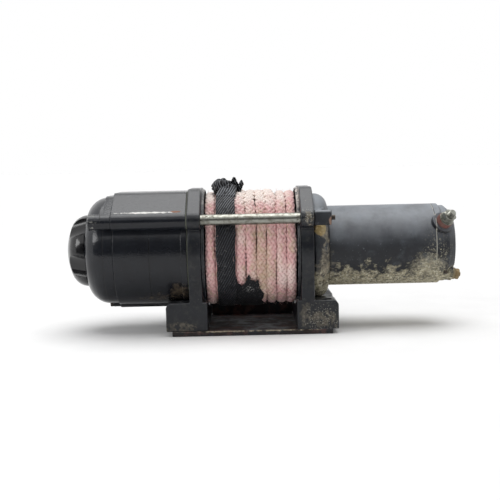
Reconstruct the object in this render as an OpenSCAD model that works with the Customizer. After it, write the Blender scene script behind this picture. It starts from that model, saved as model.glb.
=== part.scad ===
// Electric recovery winch for a light off-road vehicle, wound with braided rope. Millimetres.
// X runs along the drum axis from the gearbox to the motor, +Z is up and the front faces -Y.
// The origin lies on the underside of the base plate, in the middle of the foot bolt pattern.

/* [Stand] */
// Height of the drum axis above the underside of the base plate
axis_h = 69.5; // [68:0.5:76]
// Distance between the inner faces of the two drum supports
support_gap = 82; // [74:1:110]
// Thickness of each drum support along the axis
support_t = 11; // [10:0.5:14]
// Radius of the round part of each drum support
support_r = 52; // [50.5:0.5:53]
// Height of the flat top of the supports above the axis
support_roof_h = 52; // [50:0.5:56]
// Half the width of the flat top of the supports
support_roof_half = 27; // [22:0.5:31]
// Radius of the support's boss round each tie rod end
support_boss_r = 8; // [7:0.25:9]
// Depth of the feet from front to back
foot_depth = 93; // [88:1:98]
// Height of each foot
foot_h = 24; // [20:0.5:28]
// Reach of each foot beyond its support
foot_reach = 19.6; // [17:0.2:26]
// How far each foot also steps in under the drum
foot_step = 4; // [2:0.25:6]
// Bevel along the outer top edge of each foot
foot_bevel = 3; // [1:0.5:5]
// Thickness of the base plate
base_t = 4; // [3:0.25:6]
// Length of the base plate along the drum axis
base_l = 133.5; // [124:0.5:140]
// Height of the lip that is bent up along the back of the base plate
back_lip_h = 24; // [16:0.5:30]

/* [Mounting holes] */
// Spacing of the foot bolts along the drum axis
bolt_spacing_x = 123.8; // [120:0.2:128]
// Spacing of the foot bolts from front to back
bolt_spacing_y = 76.2; // [70:0.2:78]
// Radius of the foot bolt holes
bolt_hole_r = 4.25; // [3.5:0.05:4.5]
// Width across the captive square nuts
foot_nut_w = 13; // [11:0.5:14]
// Thickness of the captive square nuts
foot_nut_t = 6.5; // [5:0.5:7]

/* [Tie rods] */
// Distance of each tie rod in front of or behind the axis
rod_y = 49; // [48:0.25:51]
// Height of the tie rods above the axis
rod_z = 27; // [25:0.5:30]
// Radius of a tie rod
rod_r = 4.5; // [4:0.1:4.75]
// Depth of the threaded hole in each rod end
rod_thread_l = 15; // [10:0.5:20]

/* [Gear housing] */
// Length of the gear housing
housing_l = 61.2; // [58:0.2:75]
// Radius of the round lower part of the gear housing
housing_r = 47.5; // [46.5:0.25:49]
// Height of the housing's flat top above the axis
housing_roof_h = 50; // [48:0.5:51]
// Half the width of the housing's flat top
housing_roof_half = 26; // [22:0.5:30]
// Radius of the long boss round each gearbox bolt
housing_boss_r = 7; // [6:0.25:7.5]
// Radius of the bore that holds the ring gears
housing_bore_r = 42.05; // [41:0.05:43]
// Length of the flange against the gear side support
housing_flange_l = 5; // [4:0.5:8]
// Radius of the flange
housing_flange_r = 49.5; // [49:0.25:49.75]
// Depth of the rib under the housing, below the axis
housing_rib_z = 49.5; // [49:0.25:51]
// Half the width of that rib
housing_rib_half = 6; // [5:0.5:9]
// Thickness of the paper gasket under the flange
gasket_t = 0.8; // [0.5:0.1:1.5]

/* [End cover] */
// Length of the end cover along the axis
cover_l = 26; // [25:0.5:34]
// Radius of the end cover
cover_r = 46; // [44.5:0.25:47.5]
// Radius of its rounded shoulder
cover_round = 18; // [14:0.5:19]
// Wall of the end cover
cover_wall = 4; // [3:0.25:4.5]
// Length of the cover's square shoulder against the housing
cover_shoulder_l = 7; // [5:0.5:8]
// Height of that shoulder's flat top above the axis
cover_roof_h = 47.5; // [46.5:0.5:50]
// Radius of the cover's bolt lugs
cover_lug_r = 6.5; // [5.75:0.25:7]
// Length of the cover's bolt lugs
cover_lug_l = 18.5; // [16:0.5:23]

/* [Clutch] */
// Radius of the clutch knob at its rim
knob_r = 31; // [28:0.5:34]
// Height of the clutch knob
knob_h = 18.1; // [15:0.1:22]
// Rounding of the knob's shoulder
knob_round = 14.5; // [10:0.5:16]
// Radius of the knob's domed face
knob_crown_r = 55; // [45:1:80]
// Number of finger grooves in the knob
knob_grooves = 5; // [4:1:8]
// Angle of the first finger groove, from the back over the top
knob_groove_start = 59; // [0:1:72]
// Radius of the knob's spindle
spindle_r = 8; // [6:0.25:9]
// Travel of the clutch plunger over the knob's quarter turn
clutch_travel = 6; // [5:0.25:7]
// Thickness of the plunger's disc
plunger_t = 3; // [2:0.25:3.5]
// Radius of the plunger's locking pins
lock_pin_r = 2.5; // [1.75:0.05:2.6]

/* [Gears] */
// Module of every gear
gear_module = 1.25; // [1.2:0.01:1.26]
// Teeth on each sun gear
sun_teeth = 12; // [12]
// Teeth on each planet gear
planet_teeth = 21; // [21]
// Share of the gears' room along the axis for the planets of the first stage
first_gear_share = 0.27; // [0.22:0.01:0.3]
// Share of the gears' room for the planets of the second stage
second_gear_share = 0.3; // [0.25:0.01:0.33]
// Share of the gears' room for the planets of the output stage
output_gear_share = 0.43; // [0.4:0.01:0.5]
// Thickness of the first and second carrier plates
carrier_t = 4; // [3:0.25:4.5]
// Thickness of the output carrier plate
output_carrier_t = 5; // [4:0.25:6]
// Radius of the planet pins
planet_pin_r = 4; // [3:0.25:4.5]
// Distance across the flats of the drive shaft
shaft_flats = 7; // [6:0.1:7.2]

/* [Drum] */
// Radius of the drum barrel
barrel_r = 25; // [24.5:0.25:27]
// Radius of the drum flanges
drum_flange_r = 49; // [48:0.25:50]
// Thickness of the drum flanges
drum_flange_t = 2; // [1.5:0.25:3.5]
// Radius of the drum's bearing journals
journal_r = 23.5; // [22:0.25:24]
// Radius of the brake bore in the drum
drum_bore_r = 20.5; // [19.5:0.25:21]
// Outer radius of the nylon drum bushes
bush_r = 27; // [25.5:0.25:29]
// Distance across the flats of the drum's drive socket
socket_flats = 32; // [30:0.5:35]

/* [Rope] */
// Radius over the inner layers of rope
rope_core_r = 42.2; // [38:0.1:42.3]
// Width of the outer layer's flattened rope
rope_w = 7.2; // [6:0.1:7.3]
// Number of turns in the outer layer
rope_turns_n = 9; // [4:1:9]
// Width of the webbing sleeve round the rope
sleeve_w = 16.2; // [12:0.2:20]
// Thickness of the webbing
sleeve_t = 1; // [0.8:0.05:1.1]

/* [Motor] */
// Radius of the motor can
can_r = 34.45; // [33.5:0.05:36]
// Length of the motor can
can_l = 90; // [88:1:120]
// Wall of the motor can
can_wall = 2.15; // [1.5:0.05:2.5]
// Radius of the motor flange
motor_flange_r = 45.5; // [44:0.25:49]
// Length of the motor flange
motor_flange_l = 14; // [13.5:0.25:18]
// Length of the motor end cap
cap_l = 16.7; // [15:0.1:20]
// Radius of the armature
armature_r = 27.5; // [24:0.25:27.75]
// Number of armature slots
armature_slots = 12; // [8:1:14]
// Radius of the commutator
commutator_r = 13; // [11:0.25:14]
// Radius of the motor shaft
motor_shaft_r = 5; // [4:0.1:5.5]

/* [Terminals] */
// Radius of the terminal studs
stud_r = 3; // [2.5:0.1:3.5]
// Angle of the upper terminal above the horizontal
terminal_angle = 35; // [20:1:50]
// Lean of the upper terminal towards the end of the motor
terminal_lean = 22; // [15:1:28]
// Distance from the motor axis to the tip of the upper stud, along the stud
terminal_reach = 53.5; // [50:0.5:58]
// Radius of the upper terminal's insulator
insulator_r = 6.7; // [6:0.1:7.5]

/* [Hidden] */
$fn = 64;

// Overrun of every cut past the face it opens
cut = 1;
// Gap between pieces that seat in each other without turning
seat_gap = 0.1;
// Radial gap of every shaft that turns or slides in its bore
running_gap = 0.06;
// Gap between a soft or wound piece and what it lies on
soft_gap = 0.3;
// Gap between the drum's end faces and the supports
drum_end_gap = 0.5;

// Places along the axis, from the middle of the drum
support_in = support_gap / 2;
support_out = support_in + support_t;
foot_bottom = base_t - axis_h;
foot_half = foot_depth / 2;
foot_end = support_out + foot_reach;
back_lip_gap = 0.5;
back_lip_half = support_in - foot_step - back_lip_gap;
gasket_x = -support_out - gasket_t;
housing_x = gasket_x - housing_l;
cover_x = housing_x - cover_l;
flange_x = support_out + motor_flange_l;
can_x = flange_x + can_l;
cap_x = can_x + cap_l;

// Base plate screws, countersunk from below
base_screw_r = 3;
base_screw_head_r = 5.6;
base_screw_l = 14;
base_screw_x = support_in + support_t / 2;
base_screw_y = foot_half * 0.43;

// Captive nuts, in a pocket open at the foot's end
nut_floor = 10;
foot_nut_z = base_t + nut_floor;
nut_gap = 0.2;

// Room for the drum's flange in the foot's inner step, and for the bodies over the feet
flange_room = 0.5;
saddle_gap = 0.7;

// Bolts through the roof bosses into the tie rods
long_bolt_r = 3;
bolt_clear = 0.3;
long_bolt_head_r = 4.8;
long_bolt_head_l = 5;
long_bolt_sink = 6;
rod_thread_gap = 2;

// Lower screws of the housing flange
lower_screw_r = 2.5;
lower_screw_head_r = 4.25;
lower_screw_head_l = 4;
lower_screw_place_r = (housing_bore_r + housing_flange_r) / 2;
lower_screw_angles = [-38, -142];
lower_screw_l = 11.5;

// Bottom screw of the end cover, in the housing's rib
cover_screw_r = 1.75;
cover_screw_share = 0.58;
cover_screw_z = housing_bore_r + (housing_rib_z - housing_bore_r) * cover_screw_share;
cover_screw_lug_r = housing_rib_z - cover_screw_z;
cover_screw_head_r = 3;
cover_screw_head_l = 2.5;
cover_screw_l = 24;

// Keys that hold the main ring gear
key_w = 6;
key_h = 2;
key_root = 1;

// Gear train
pressure_angle = 25;
tooth_height_share = 0.8;
tooth_root_share = 1;
flank_steps = 3;
flank_play = 0.06;
planets_n = 3;
ring_teeth = sun_teeth + 2 * planet_teeth;
ring_pitch_r = ring_teeth * gear_module / 2;
orbit_r = (sun_teeth + planet_teeth) * gear_module / 2;
ring_wall_r = housing_bore_r - running_gap;
free_ring_gap = 0.4;
tooth_tip = gear_module * tooth_height_share;
tooth_root = gear_module * tooth_root_share;
carrier_gap = 0.5;
stage_gap = 0.8;
pin_stand = 0.2;
ring_room = 0.4;
carrier_r = ring_pitch_r - tooth_tip - 4 * gear_module;
carrier_bore_r = shaft_flats / sqrt(3) + free_ring_gap;
output_bore_r = carrier_bore_r + free_ring_gap;
carrier_room = 4;
gear_others_l = 31.2;
gear_room = housing_l - gear_others_l;
first_gear_w = gear_room * first_gear_share;
second_gear_w = gear_room * second_gear_share;
output_gear_w = gear_room * output_gear_share;
output_carrier_x = -support_out - carrier_room;
output_plate_x = output_carrier_x - output_carrier_t;
output_planet_x = output_plate_x - carrier_gap - output_gear_w;
second_plate_x = output_planet_x - stage_gap - carrier_t;
second_planet_x = second_plate_x - carrier_gap - second_gear_w;
first_plate_x = second_planet_x - stage_gap - carrier_t;
lock_room = 3;
first_planet_x = first_plate_x - carrier_gap - first_gear_w;
main_ring_x = first_plate_x + stage_gap;
input_ring_l = first_gear_w + lock_room;
input_ring_x = main_ring_x - carrier_gap - input_ring_l;
output_hub_l = output_carrier_x + support_out + support_t;

// Clutch
knob_gap = 0.3;
spindle_l = 21;
spindle_boss_l = 1;
spindle_boss_wall = 2;
cross_pin_r = 1.5;
cross_pin_inset = 0.5;
cross_pin_depth = 15;
cam_play = 0.6;
cam_steps = 8;
cam_angle = 90;
hub_wall = 4.6;
hub_r = spindle_r + hub_wall;
cross_pin_x = cover_x + cross_pin_depth;
plunger_l = 18.5;
plunger_inset = 1.5;
plunger_x = housing_x + plunger_inset;
plunger_play = 1.6;
plunger_r = housing_bore_r - plunger_play;
lock_place_r = (ring_pitch_r + tooth_root + ring_wall_r) / 2;
lock_pins_n = 4;
lock_depth = 4;
lock_floor_gap = 1;
lock_reach = input_ring_x - plunger_x - plunger_t + lock_depth - lock_floor_gap;
guide_stand = 1.5;
guide_r = 2.5;
guide_place_r = 26;
guides_n = 2;
groove_r = 14;
groove_out = 8.7;
groove_place_r = knob_r + groove_out;
groove_lean = 18;
knob_crown_x = cover_x - knob_gap - knob_h + knob_crown_r;
knob_shoulder_r = knob_r - knob_round;
knob_shoulder_x = knob_crown_x - sqrt(pow(knob_crown_r - knob_round, 2) - pow(knob_shoulder_r, 2));

// Drum
journal_l = support_t - drum_end_gap * 2;
drum_half = support_in - drum_end_gap;
drum_inner_half = drum_half - drum_flange_t;
// Each support's rim reaches over the drum's flange and stays clear of the tie rods
rim_l = support_in - drum_inner_half;
rim_r = norm([rod_y, rod_z]) - rod_r - soft_gap;
socket_wall = 4;
anchor_r = 4;
anchor_t = 3.9;
anchor_socket = 2;

// Rope, wound as one flattened six-sided tube
rope_sides = 6;
rope_rings = 24;
rope_r = rope_w / 2;
rope_flat_r = rope_r * cos(180 / rope_sides);
rope_lay_r = (rope_core_r + soft_gap / 3 + rope_flat_r) / cos(180 / rope_rings);
rope_edge_gap = 0.5;
rope_first_x = -drum_inner_half + rope_edge_gap + rope_r;
rope_start_angle = -70;
rope_top_r = rope_lay_r + rope_flat_r;
sleeve_in_r = rope_top_r + soft_gap;
sleeve_out_r = sleeve_in_r + sleeve_t;
sleeve_inset = 9.9;
sleeve_x = -drum_inner_half + sleeve_inset;
fold_t = 0.8;
fold_over = 3.5;
fold_under = 1.8;
fold_angles = [70, 116];
torn_l = 22;
torn_end_angle = 256;
torn_start_angle = 205;
torn_bite_shares = [0.16, 0.5, 0.85];
torn_bite_rs = [2.6, 4.5, 3];

// Brake inside the drum
brake_l = 30;
brake_hub_r = 9;
brake_shoe_in_r = 13.2;
brake_shoe_gap = 0.4;
brake_spring_r = 1;
brake_spring_angle = 300;

// Motor
coupler_r = 9;
coupler_l = 14;
coupler_room = 1;
coupler_inset = 8;
coupler_x = support_out - coupler_inset;
shaft_split_x = coupler_x + coupler_l / 2;
drive_shaft_end_gap = 1;
motor_bush_wall = 3;
motor_bush_l = 7;
flange_round = motor_flange_r - can_r;
lug_w = 13;
lug_h = 12;
lug_inset = 5.5;
flange_head_r = 4.5;
flange_head_l = 4;
flange_stub_r = 2;
flange_stub_l = 3.4;
flange_screw_l = 8;
flange_head_rise = 4;
flange_head_x = support_out + flange_head_rise;
can_in_r = can_r - can_wall;
spigot_l = 4;
spigot_wall = 4.3;
through_thread_l = 8;
magnet_gap = 0.9;
magnet_angle = 68;
magnets_n = 4;
magnet_l = can_l * 0.68;
magnet_inset = 10;
magnet_x = flange_x + magnet_inset;
core_l = can_l * 0.53;
core_inset = 18;
core_x = flange_x + core_inset;
ring_step = 1;
slot_w = 4;
slot_depth = 9;
bar_gap = 0.3;
winding_l = 8;
winding_in_r = 11;
commutator_l = 12;
commutator_gap = 2;
commutator_x = core_x + core_l + winding_l + commutator_gap;
through_bolt_r = 2;
through_bolt_place_r = (armature_r + can_in_r) / 2;
through_bolt_angles = [45, 225];
through_head_r = 3.5;
through_head_l = 3;
holder_t = 2;
holder_x = can_x - holder_t;
holder_r = can_in_r - 2 * seat_gap;
holder_room = 2;
holder_in_r = commutator_r + holder_room;
brush_w = 8;
brush_l = 6;
brush_h = 9;
brush_gap = 0.2;
box_wall = 1;
brush_box_r = 28;
brushes_n = 4;
spring_roll_r = 2;
spring_strip = 0.6;
cap_wall = 3;
cap_end_r = 27.5;
cap_step = 1.65;
cap_rim_l = 5;
cap_step_l = 1.5;
cap_band_l = 4;
cap_boss_r = 12;
through_head_rise = 2;
through_head_x = can_x + cap_rim_l + through_head_rise;

// Terminals, as heights along each stud
terminal_inset = 8;
terminal_x = can_x - terminal_inset;
terminal_boss_r = 9.5;
terminal_stack = 16;
terminal_boss_end = terminal_reach - terminal_stack;
insulator_t = 5;
washer_r = 6.4;
washer_t = 1.5;
stud_nut_flats = 10;
stud_nut_t = 5;
stud_l = 24;
stud_inner_end = terminal_reach - stud_l;
side_terminal_inset = 9;
side_terminal_x = cap_x - side_terminal_inset;
side_terminal_y = -10;
side_terminal_z = -24;
side_terminal_droop = 10;
side_boss_r = 6.4;
side_boss_end = 9.2;
side_insulator_r = 5.1;
side_insulator_t = 2;
side_washer_t = 1;
side_nut_flats = 8;
side_nut_t = 3;
side_stud_r = 2.5;
side_tip = 16.4;
side_inner_end = -3;
side_nut_x = side_boss_end + side_insulator_t + side_washer_t;
stud_nut_x = terminal_boss_end + insulator_t + washer_t;
pitch_share = 0.89;

// Lays an outline, drawn with Y to the right and Z up, across the axis at x
module axial(x) {
    translate([x, 0, axis_h]) rotate([90, 0, 90]) children();
}

// A round bar along the axis, from x towards the motor
module bar(x, length, radius) {
    axial(x) cylinder(h = length, r = radius);
}

// A tube along the axis, from x towards the motor
module tube(x, length, outer, inner) {
    axial(x) linear_extrude(length) difference() {
        circle(outer);
        circle(inner);
    }
}

// A revolved profile, drawn with the axis position to the right and the radius up
module turned() {
    translate([0, 0, axis_h]) rotate([0, 90, 0]) rotate_extrude() mirror([1, -1]) children();
}

// Corner radius of a hexagon from its width across flats
function hex_r(flats) = flats / sqrt(3);

// Point where a line from the roof's edge touches the boss round a bolt
function roof_touch(half, height, boss) =
    let (dy = rod_y - half, dz = rod_z - height)
    let (reach = sqrt(dy * dy + dz * dz), lean = atan2(dz, dy) + asin(boss / reach))
    let (run = sqrt(reach * reach - boss * boss))
    [half + run * cos(lean), height + run * sin(lean)];

// A point part of the way from one point to another
function between(from, to, share) = from + (to - from) * share;

// Cross-section that the supports, the housing and the cover share
module body_outline(radius, height, half, boss) {
    edge_share = 0.1;
    touch = roof_touch(half, height, boss * 0.97);
    corner = [half, height];
    eased = between(corner, touch, edge_share);
    flat_end = half * (1 - edge_share);
    circle(radius);
    for (side = [-1, 1]) translate([side * rod_y, rod_z]) circle(boss);
    polygon([
        [-touch[0], touch[1]], [-eased[0], eased[1]], [-flat_end, height],
        [flat_end, height], eased, touch, [rod_y, rod_z], [0, 0], [-rod_y, rod_z]
    ]);
}

// Round holes at both roof bosses
module boss_holes(x, length, radius) {
    for (side = [-1, 1]) translate([0, side * rod_y, rod_z]) bar(x, length, radius);
}

// A vertical hole or post of the foot bolt pattern, on the side given
module foot_bolt_places(side) {
    for (end = [-1, 1])
        translate([side * bolt_spacing_x / 2, end * bolt_spacing_y / 2, 0]) children();
}

module base_plate() {
    color("#4a4642") difference() {
        union() {
            translate([-base_l / 2, -foot_half, 0]) cube([base_l, foot_depth, base_t]);
            translate([-back_lip_half, foot_half - base_t, 0]) cube([2 * back_lip_half, base_t, back_lip_h]);
        }
        for (side = [-1, 1]) foot_bolt_places(side) union() {
            translate([0, 0, -cut]) cylinder(h = base_t + 2 * cut, r = bolt_hole_r);
            translate([side < 0 ? -base_l : 0, -bolt_hole_r, -cut])
                cube([base_l, 2 * bolt_hole_r, base_t + 2 * cut]);
        }
        base_screw_places() base_screw_shape(seat_gap);
    }
}

module base_screw_places() {
    for (side = [-1, 1]) for (end = [-1, 1])
        translate([side * base_screw_x, end * base_screw_y, 0]) children();
}

// A countersunk screw, grown by the gap given
module base_screw_shape(gap) {
    head_h = base_t * 0.9;
    translate([0, 0, -gap * cut]) cylinder(h = base_screw_l + gap, r = base_screw_r + gap);
    translate([0, 0, -gap]) cylinder(h = head_h + gap, r1 = base_screw_head_r + gap, r2 = base_screw_r + gap);
}

module base_plate_screws() {
    color("#6f7072") base_screw_places() base_screw_shape(0);
}

// One drum support, drawn for the motor side; side is -1 on the gear side
module drum_support(side) {
    web_top = -sqrt(support_r * support_r - foot_half * foot_half);
    start = side > 0 ? support_in : -support_out;
    foot_start = side > 0 ? support_in - foot_step : -foot_end;
    foot_l = foot_end - support_in + foot_step;
    bevel_x = side * foot_end;
    difference() {
        union() {
            axial(start) linear_extrude(support_t) {
                body_outline(support_r, support_roof_h, support_roof_half, support_boss_r);
                translate([-foot_half, foot_bottom]) square([foot_depth, web_top - foot_bottom]);
            }
            translate([foot_start, -foot_half, base_t]) cube([foot_l, foot_depth, foot_h]);
            bar(side > 0 ? drum_inner_half : -support_in - cut, rim_l + cut, rim_r);
        }
        // Room for the drum's flange in the rim and the foot's inner step
        tube_start = side > 0 ? support_in - foot_step - cut : -support_in;
        bar(tube_start, foot_step + cut, drum_flange_r + flange_room);
        // Saddle under the gear housing or the motor flange
        bar(side > 0 ? support_out : -foot_end - cut, foot_reach + cut,
            (side > 0 ? motor_flange_r : housing_flange_r) + saddle_gap);
        // Seat of the drum bush
        bar(start - cut, support_t + 2 * cut, bush_r + seat_gap / 2);
        boss_holes(start - cut, support_t + 2 * cut, long_bolt_r + bolt_clear);
        // Bevel along the foot's outer top edge
        translate([bevel_x, 0, base_t + foot_h]) rotate([0, 45, 0])
            cube([foot_bevel * sqrt(2), foot_depth + 2 * cut, foot_bevel * sqrt(2)], center = true);
        foot_bolt_places(side) translate([0, 0, base_t - cut])
            cylinder(h = foot_h + 2 * cut, r = bolt_hole_r);
        foot_bolt_places(side) nut_pocket(side);
        base_screw_places() base_screw_shape(seat_gap);
        if (side < 0) for (angle = lower_screw_angles) lower_screw(angle, seat_gap);
        if (side > 0) lower_motor_bolts(seat_gap);
    }
}

// Pocket for a captive nut, open towards the foot's end
module nut_pocket(side) {
    width = foot_nut_w + 2 * nut_gap;
    length = foot_end - bolt_spacing_x / 2 + width / 2 + cut;
    start = side > 0 ? -width / 2 : width / 2 - length;
    translate([start, -width / 2, foot_nut_z]) cube([length, width, foot_nut_t + nut_gap]);
}

module gear_side_support() {
    color("#2e2f31") drum_support(-1);
}

module motor_side_support() {
    color("#3b3c3c") drum_support(1);
}

module tie_rods() {
    color("#b9bab4") for (side = [-1, 1]) translate([0, side * rod_y, rod_z]) difference() {
        bar(-support_in, support_gap, rod_r);
        bar(-support_in - cut, rod_thread_l + cut, long_bolt_r + seat_gap);
        bar(support_in - rod_thread_l, rod_thread_l + cut, long_bolt_r + seat_gap);
    }
}

module foot_nuts() {
    color("#8d8e8c") for (side = [-1, 1]) foot_bolt_places(side) difference() {
        translate([-foot_nut_w / 2, -foot_nut_w / 2, foot_nut_z])
            cube([foot_nut_w, foot_nut_w, foot_nut_t]);
        translate([0, 0, foot_nut_z - cut])
            cylinder(h = foot_nut_t + 2 * cut, r = bolt_hole_r);
    }
}

// One lower flange screw, from the drum side of the support, grown by the gap given
module lower_screw(angle, gap) {
    head_x = -support_in - lower_screw_head_l;
    axial(head_x) rotate(angle) translate([lower_screw_place_r, 0, 0]) {
        translate([0, 0, -gap])
            cylinder(h = lower_screw_head_l + (gap > 0 ? cut : 0), r = lower_screw_head_r + gap);
        translate([0, 0, -lower_screw_l - gap]) cylinder(h = lower_screw_l + gap + cut,
                                                         r = lower_screw_r + gap);
    }
}

module gear_housing() {
    tip_x = gasket_x - housing_flange_l;
    color("#26272a") difference() {
        union() {
            axial(housing_x) linear_extrude(housing_l) {
                body_outline(housing_r, housing_roof_h, housing_roof_half, housing_boss_r);
                translate([-housing_rib_half, -housing_rib_z]) square([2 * housing_rib_half, housing_rib_z]);
            }
            axial(tip_x) linear_extrude(housing_flange_l)
                body_outline(housing_flange_r, housing_roof_h, housing_roof_half, housing_boss_r);
        }
        bar(housing_x - cut, housing_l + 2 * cut, housing_bore_r);
        boss_holes(housing_x - cut, housing_l + 2 * cut, long_bolt_r + bolt_clear);
        for (angle = lower_screw_angles) lower_screw(angle, seat_gap);
        ring_keys(housing_x - cut, seat_gap);
        cover_screw_shape(seat_gap, cover_l);
    }
}

module housing_gasket() {
    color("#8a8272") difference() {
        union() {
            axial(gasket_x) linear_extrude(gasket_t)
                body_outline(housing_flange_r, housing_roof_h, housing_roof_half, housing_boss_r);
            bar(gasket_x, gasket_t, housing_bore_r);
        }
        bar(gasket_x - cut, gasket_t + 2 * cut, housing_bore_r);
        boss_holes(gasket_x - cut, gasket_t + 2 * cut, long_bolt_r + bolt_clear);
        for (angle = lower_screw_angles) lower_screw(angle, seat_gap);
    }
}

module housing_screws() {
    color("#77787a") for (angle = lower_screw_angles) lower_screw(angle, 0);
}

// Angle between a radius and the involute, in degrees
function involute(angle) = tan(angle) * 180 / PI - angle;

// Half the angle that a tooth fills at one radius, thinned by play on each flank
function half_tooth(teeth, radius, play) =
    let (pitch = teeth * gear_module / 2, base = pitch * cos(pressure_angle))
    90 / teeth - play / pitch * 180 / PI + involute(pressure_angle)
    - involute(acos(min(1, base / radius)));

// Outline of a gear, or of the space inside a ring gear
function gear_points(teeth, low, high, play) = [
    for (tooth = [0:teeth - 1]) for (side = [-1, 1]) for (step = [0:flank_steps])
        let (share = (side < 0 ? step : flank_steps - step) / flank_steps)
        let (radius = low + (high - low) * share)
        let (angle = 360 * tooth / teeth + side * half_tooth(teeth, radius, play))
        radius * [cos(angle), sin(angle)]
];

module gear_outline(teeth) {
    pitch = teeth * gear_module / 2;
    polygon(gear_points(teeth, pitch - tooth_root, pitch + tooth_tip, flank_play));
}

module ring_space() {
    polygon(gear_points(ring_teeth, ring_pitch_r - tooth_tip, ring_pitch_r + tooth_root, -flank_play));
}

// The two keys on the main ring gear, at the top and at the bottom
module ring_keys(x, gap) {
    width = key_w + 2 * gap;
    reach = ring_wall_r + key_h + gap;
    length = output_plate_x - ring_room + gap - x;
    inner = ring_wall_r - key_root;
    for (side = [-1, 1]) translate([x, -width / 2, axis_h + (side > 0 ? inner : -reach)])
        cube([length, width, reach - inner]);
}

module main_ring_gear() {
    length = output_plate_x - ring_room - main_ring_x;
    color("#8f8f8c") union() {
        axial(main_ring_x) linear_extrude(length) difference() {
            circle(ring_wall_r);
            ring_space();
        }
        ring_keys(main_ring_x, 0);
    }
}

module input_ring_gear() {
    color("#a09f9a") difference() {
        axial(input_ring_x) linear_extrude(input_ring_l) difference() {
            circle(ring_wall_r - free_ring_gap);
            ring_space();
        }
        lock_places() bar(input_ring_x - cut, lock_depth + cut, lock_pin_r + bolt_clear);
    }
}

// Places of the clutch's locking pins round the axis
module lock_places() {
    for (pin = [0:lock_pins_n - 1]) about_axis(360 * (pin + 0.5) / lock_pins_n)
        translate([0, lock_place_r, 0]) children();
}

// Turns its children about the drum axis
module about_axis(angle) {
    translate([0, 0, axis_h]) rotate([angle, 0, 0]) translate([0, 0, -axis_h]) children();
}

// Profile of the cover's dome: a cylinder with a rounded shoulder, shrunk by the wall given
module cover_profile(wall) {
    centre_x = cover_x + cover_round;
    centre_r = cover_r - cover_round;
    intersection() {
        union() {
            translate([centre_x, 0]) square([housing_x - centre_x, cover_r - wall]);
            translate([cover_x + wall, 0]) square([cover_round, centre_r]);
            translate([centre_x, centre_r]) circle(cover_round - wall);
        }
        translate([cover_x, 0]) square([cover_l, cover_r]);
    }
}

module end_cover() {
    lug_x = housing_x - cover_lug_l;
    cover_boss_r = cover_lug_r;
    color("#232427") difference() {
        union() {
            turned() cover_profile(0);
            axial(housing_x - cover_shoulder_l) linear_extrude(cover_shoulder_l)
                body_outline(cover_r, cover_roof_h, housing_roof_half - cut, cover_boss_r);
            boss_holes(lug_x, cover_lug_l, cover_lug_r);
            translate([0, 0, -cover_screw_z])
                bar(housing_x - cover_shoulder_l, cover_shoulder_l, cover_screw_lug_r);
        }
        difference() {
            union() {
                turned() cover_profile(cover_wall);
                bar(housing_x - cut, 2 * cut, cover_r - cover_wall);
            }
            // Posts that keep the plunger from turning, and the spindle's boss
            guide_posts();
            bar(cover_x, cover_wall + spindle_boss_l, spindle_r + spindle_boss_wall);
        }
        bar(cover_x - cut, cover_wall + spindle_boss_l + 2 * cut, spindle_r + running_gap);
        boss_holes(lug_x - cut, cover_lug_l + 2 * cut, long_bolt_r + bolt_clear);
        boss_holes(lug_x - cut, long_bolt_sink + cut, long_bolt_head_r + bolt_clear);
        cover_screw_shape(seat_gap, cover_l);
    }
}

module guide_posts() {
    length = plunger_x + plunger_t + guide_stand - cover_x;
    for (post = [0:guides_n - 1]) about_axis(360 * post / guides_n)
        translate([0, guide_place_r, 0]) bar(cover_x, length, guide_r);
}

module gearbox_bolts() {
    head_x = housing_x - cover_lug_l + long_bolt_sink - long_bolt_head_l;
    end_x = -support_in + rod_thread_l - rod_thread_gap;
    color("#4b4c4e") for (side = [-1, 1]) translate([0, side * rod_y, rod_z]) difference() {
        union() {
            bar(head_x, long_bolt_head_l, long_bolt_head_r);
            bar(head_x, end_x - head_x, long_bolt_r);
        }
        axial(head_x - cut) cylinder(h = long_bolt_head_l / 2 + cut, r = long_bolt_r, $fn = 6);
    }
}

// The cover's bottom screw, grown by the gap given
module cover_screw_shape(gap, head_l) {
    head_x = housing_x - cover_shoulder_l;
    translate([0, 0, -cover_screw_z]) {
        bar(head_x - head_l, head_l, cover_screw_head_r + gap);
        bar(head_x, cover_screw_l + gap, cover_screw_r + gap);
    }
}

module cover_screw() {
    color("#77787a") cover_screw_shape(0, cover_screw_head_l);
}

module drum_bushes() {
    length = support_t - 2 * drum_end_gap;
    color("#d8d3c4") for (side = [-1, 1])
        tube((side > 0 ? support_in : -support_out) + drum_end_gap, length, bush_r,
             journal_r + running_gap);
}

// Profile of the motor flange: a disc whose outer edge is rounded down to the can
module flange_profile() {
    centre_x = flange_x - flange_round;
    square_l = centre_x - support_out;
    translate([support_out, 0]) square([square_l, motor_flange_r]);
    intersection() {
        translate([centre_x, can_r]) circle(flange_round);
        translate([centre_x - square_l / 2, 0]) square([motor_flange_l, motor_flange_r]);
    }
    translate([support_out, 0]) square([motor_flange_l, can_r]);
    translate([flange_x - cut, 0]) square([spigot_l + cut, can_in_r - seat_gap]);
}

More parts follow.
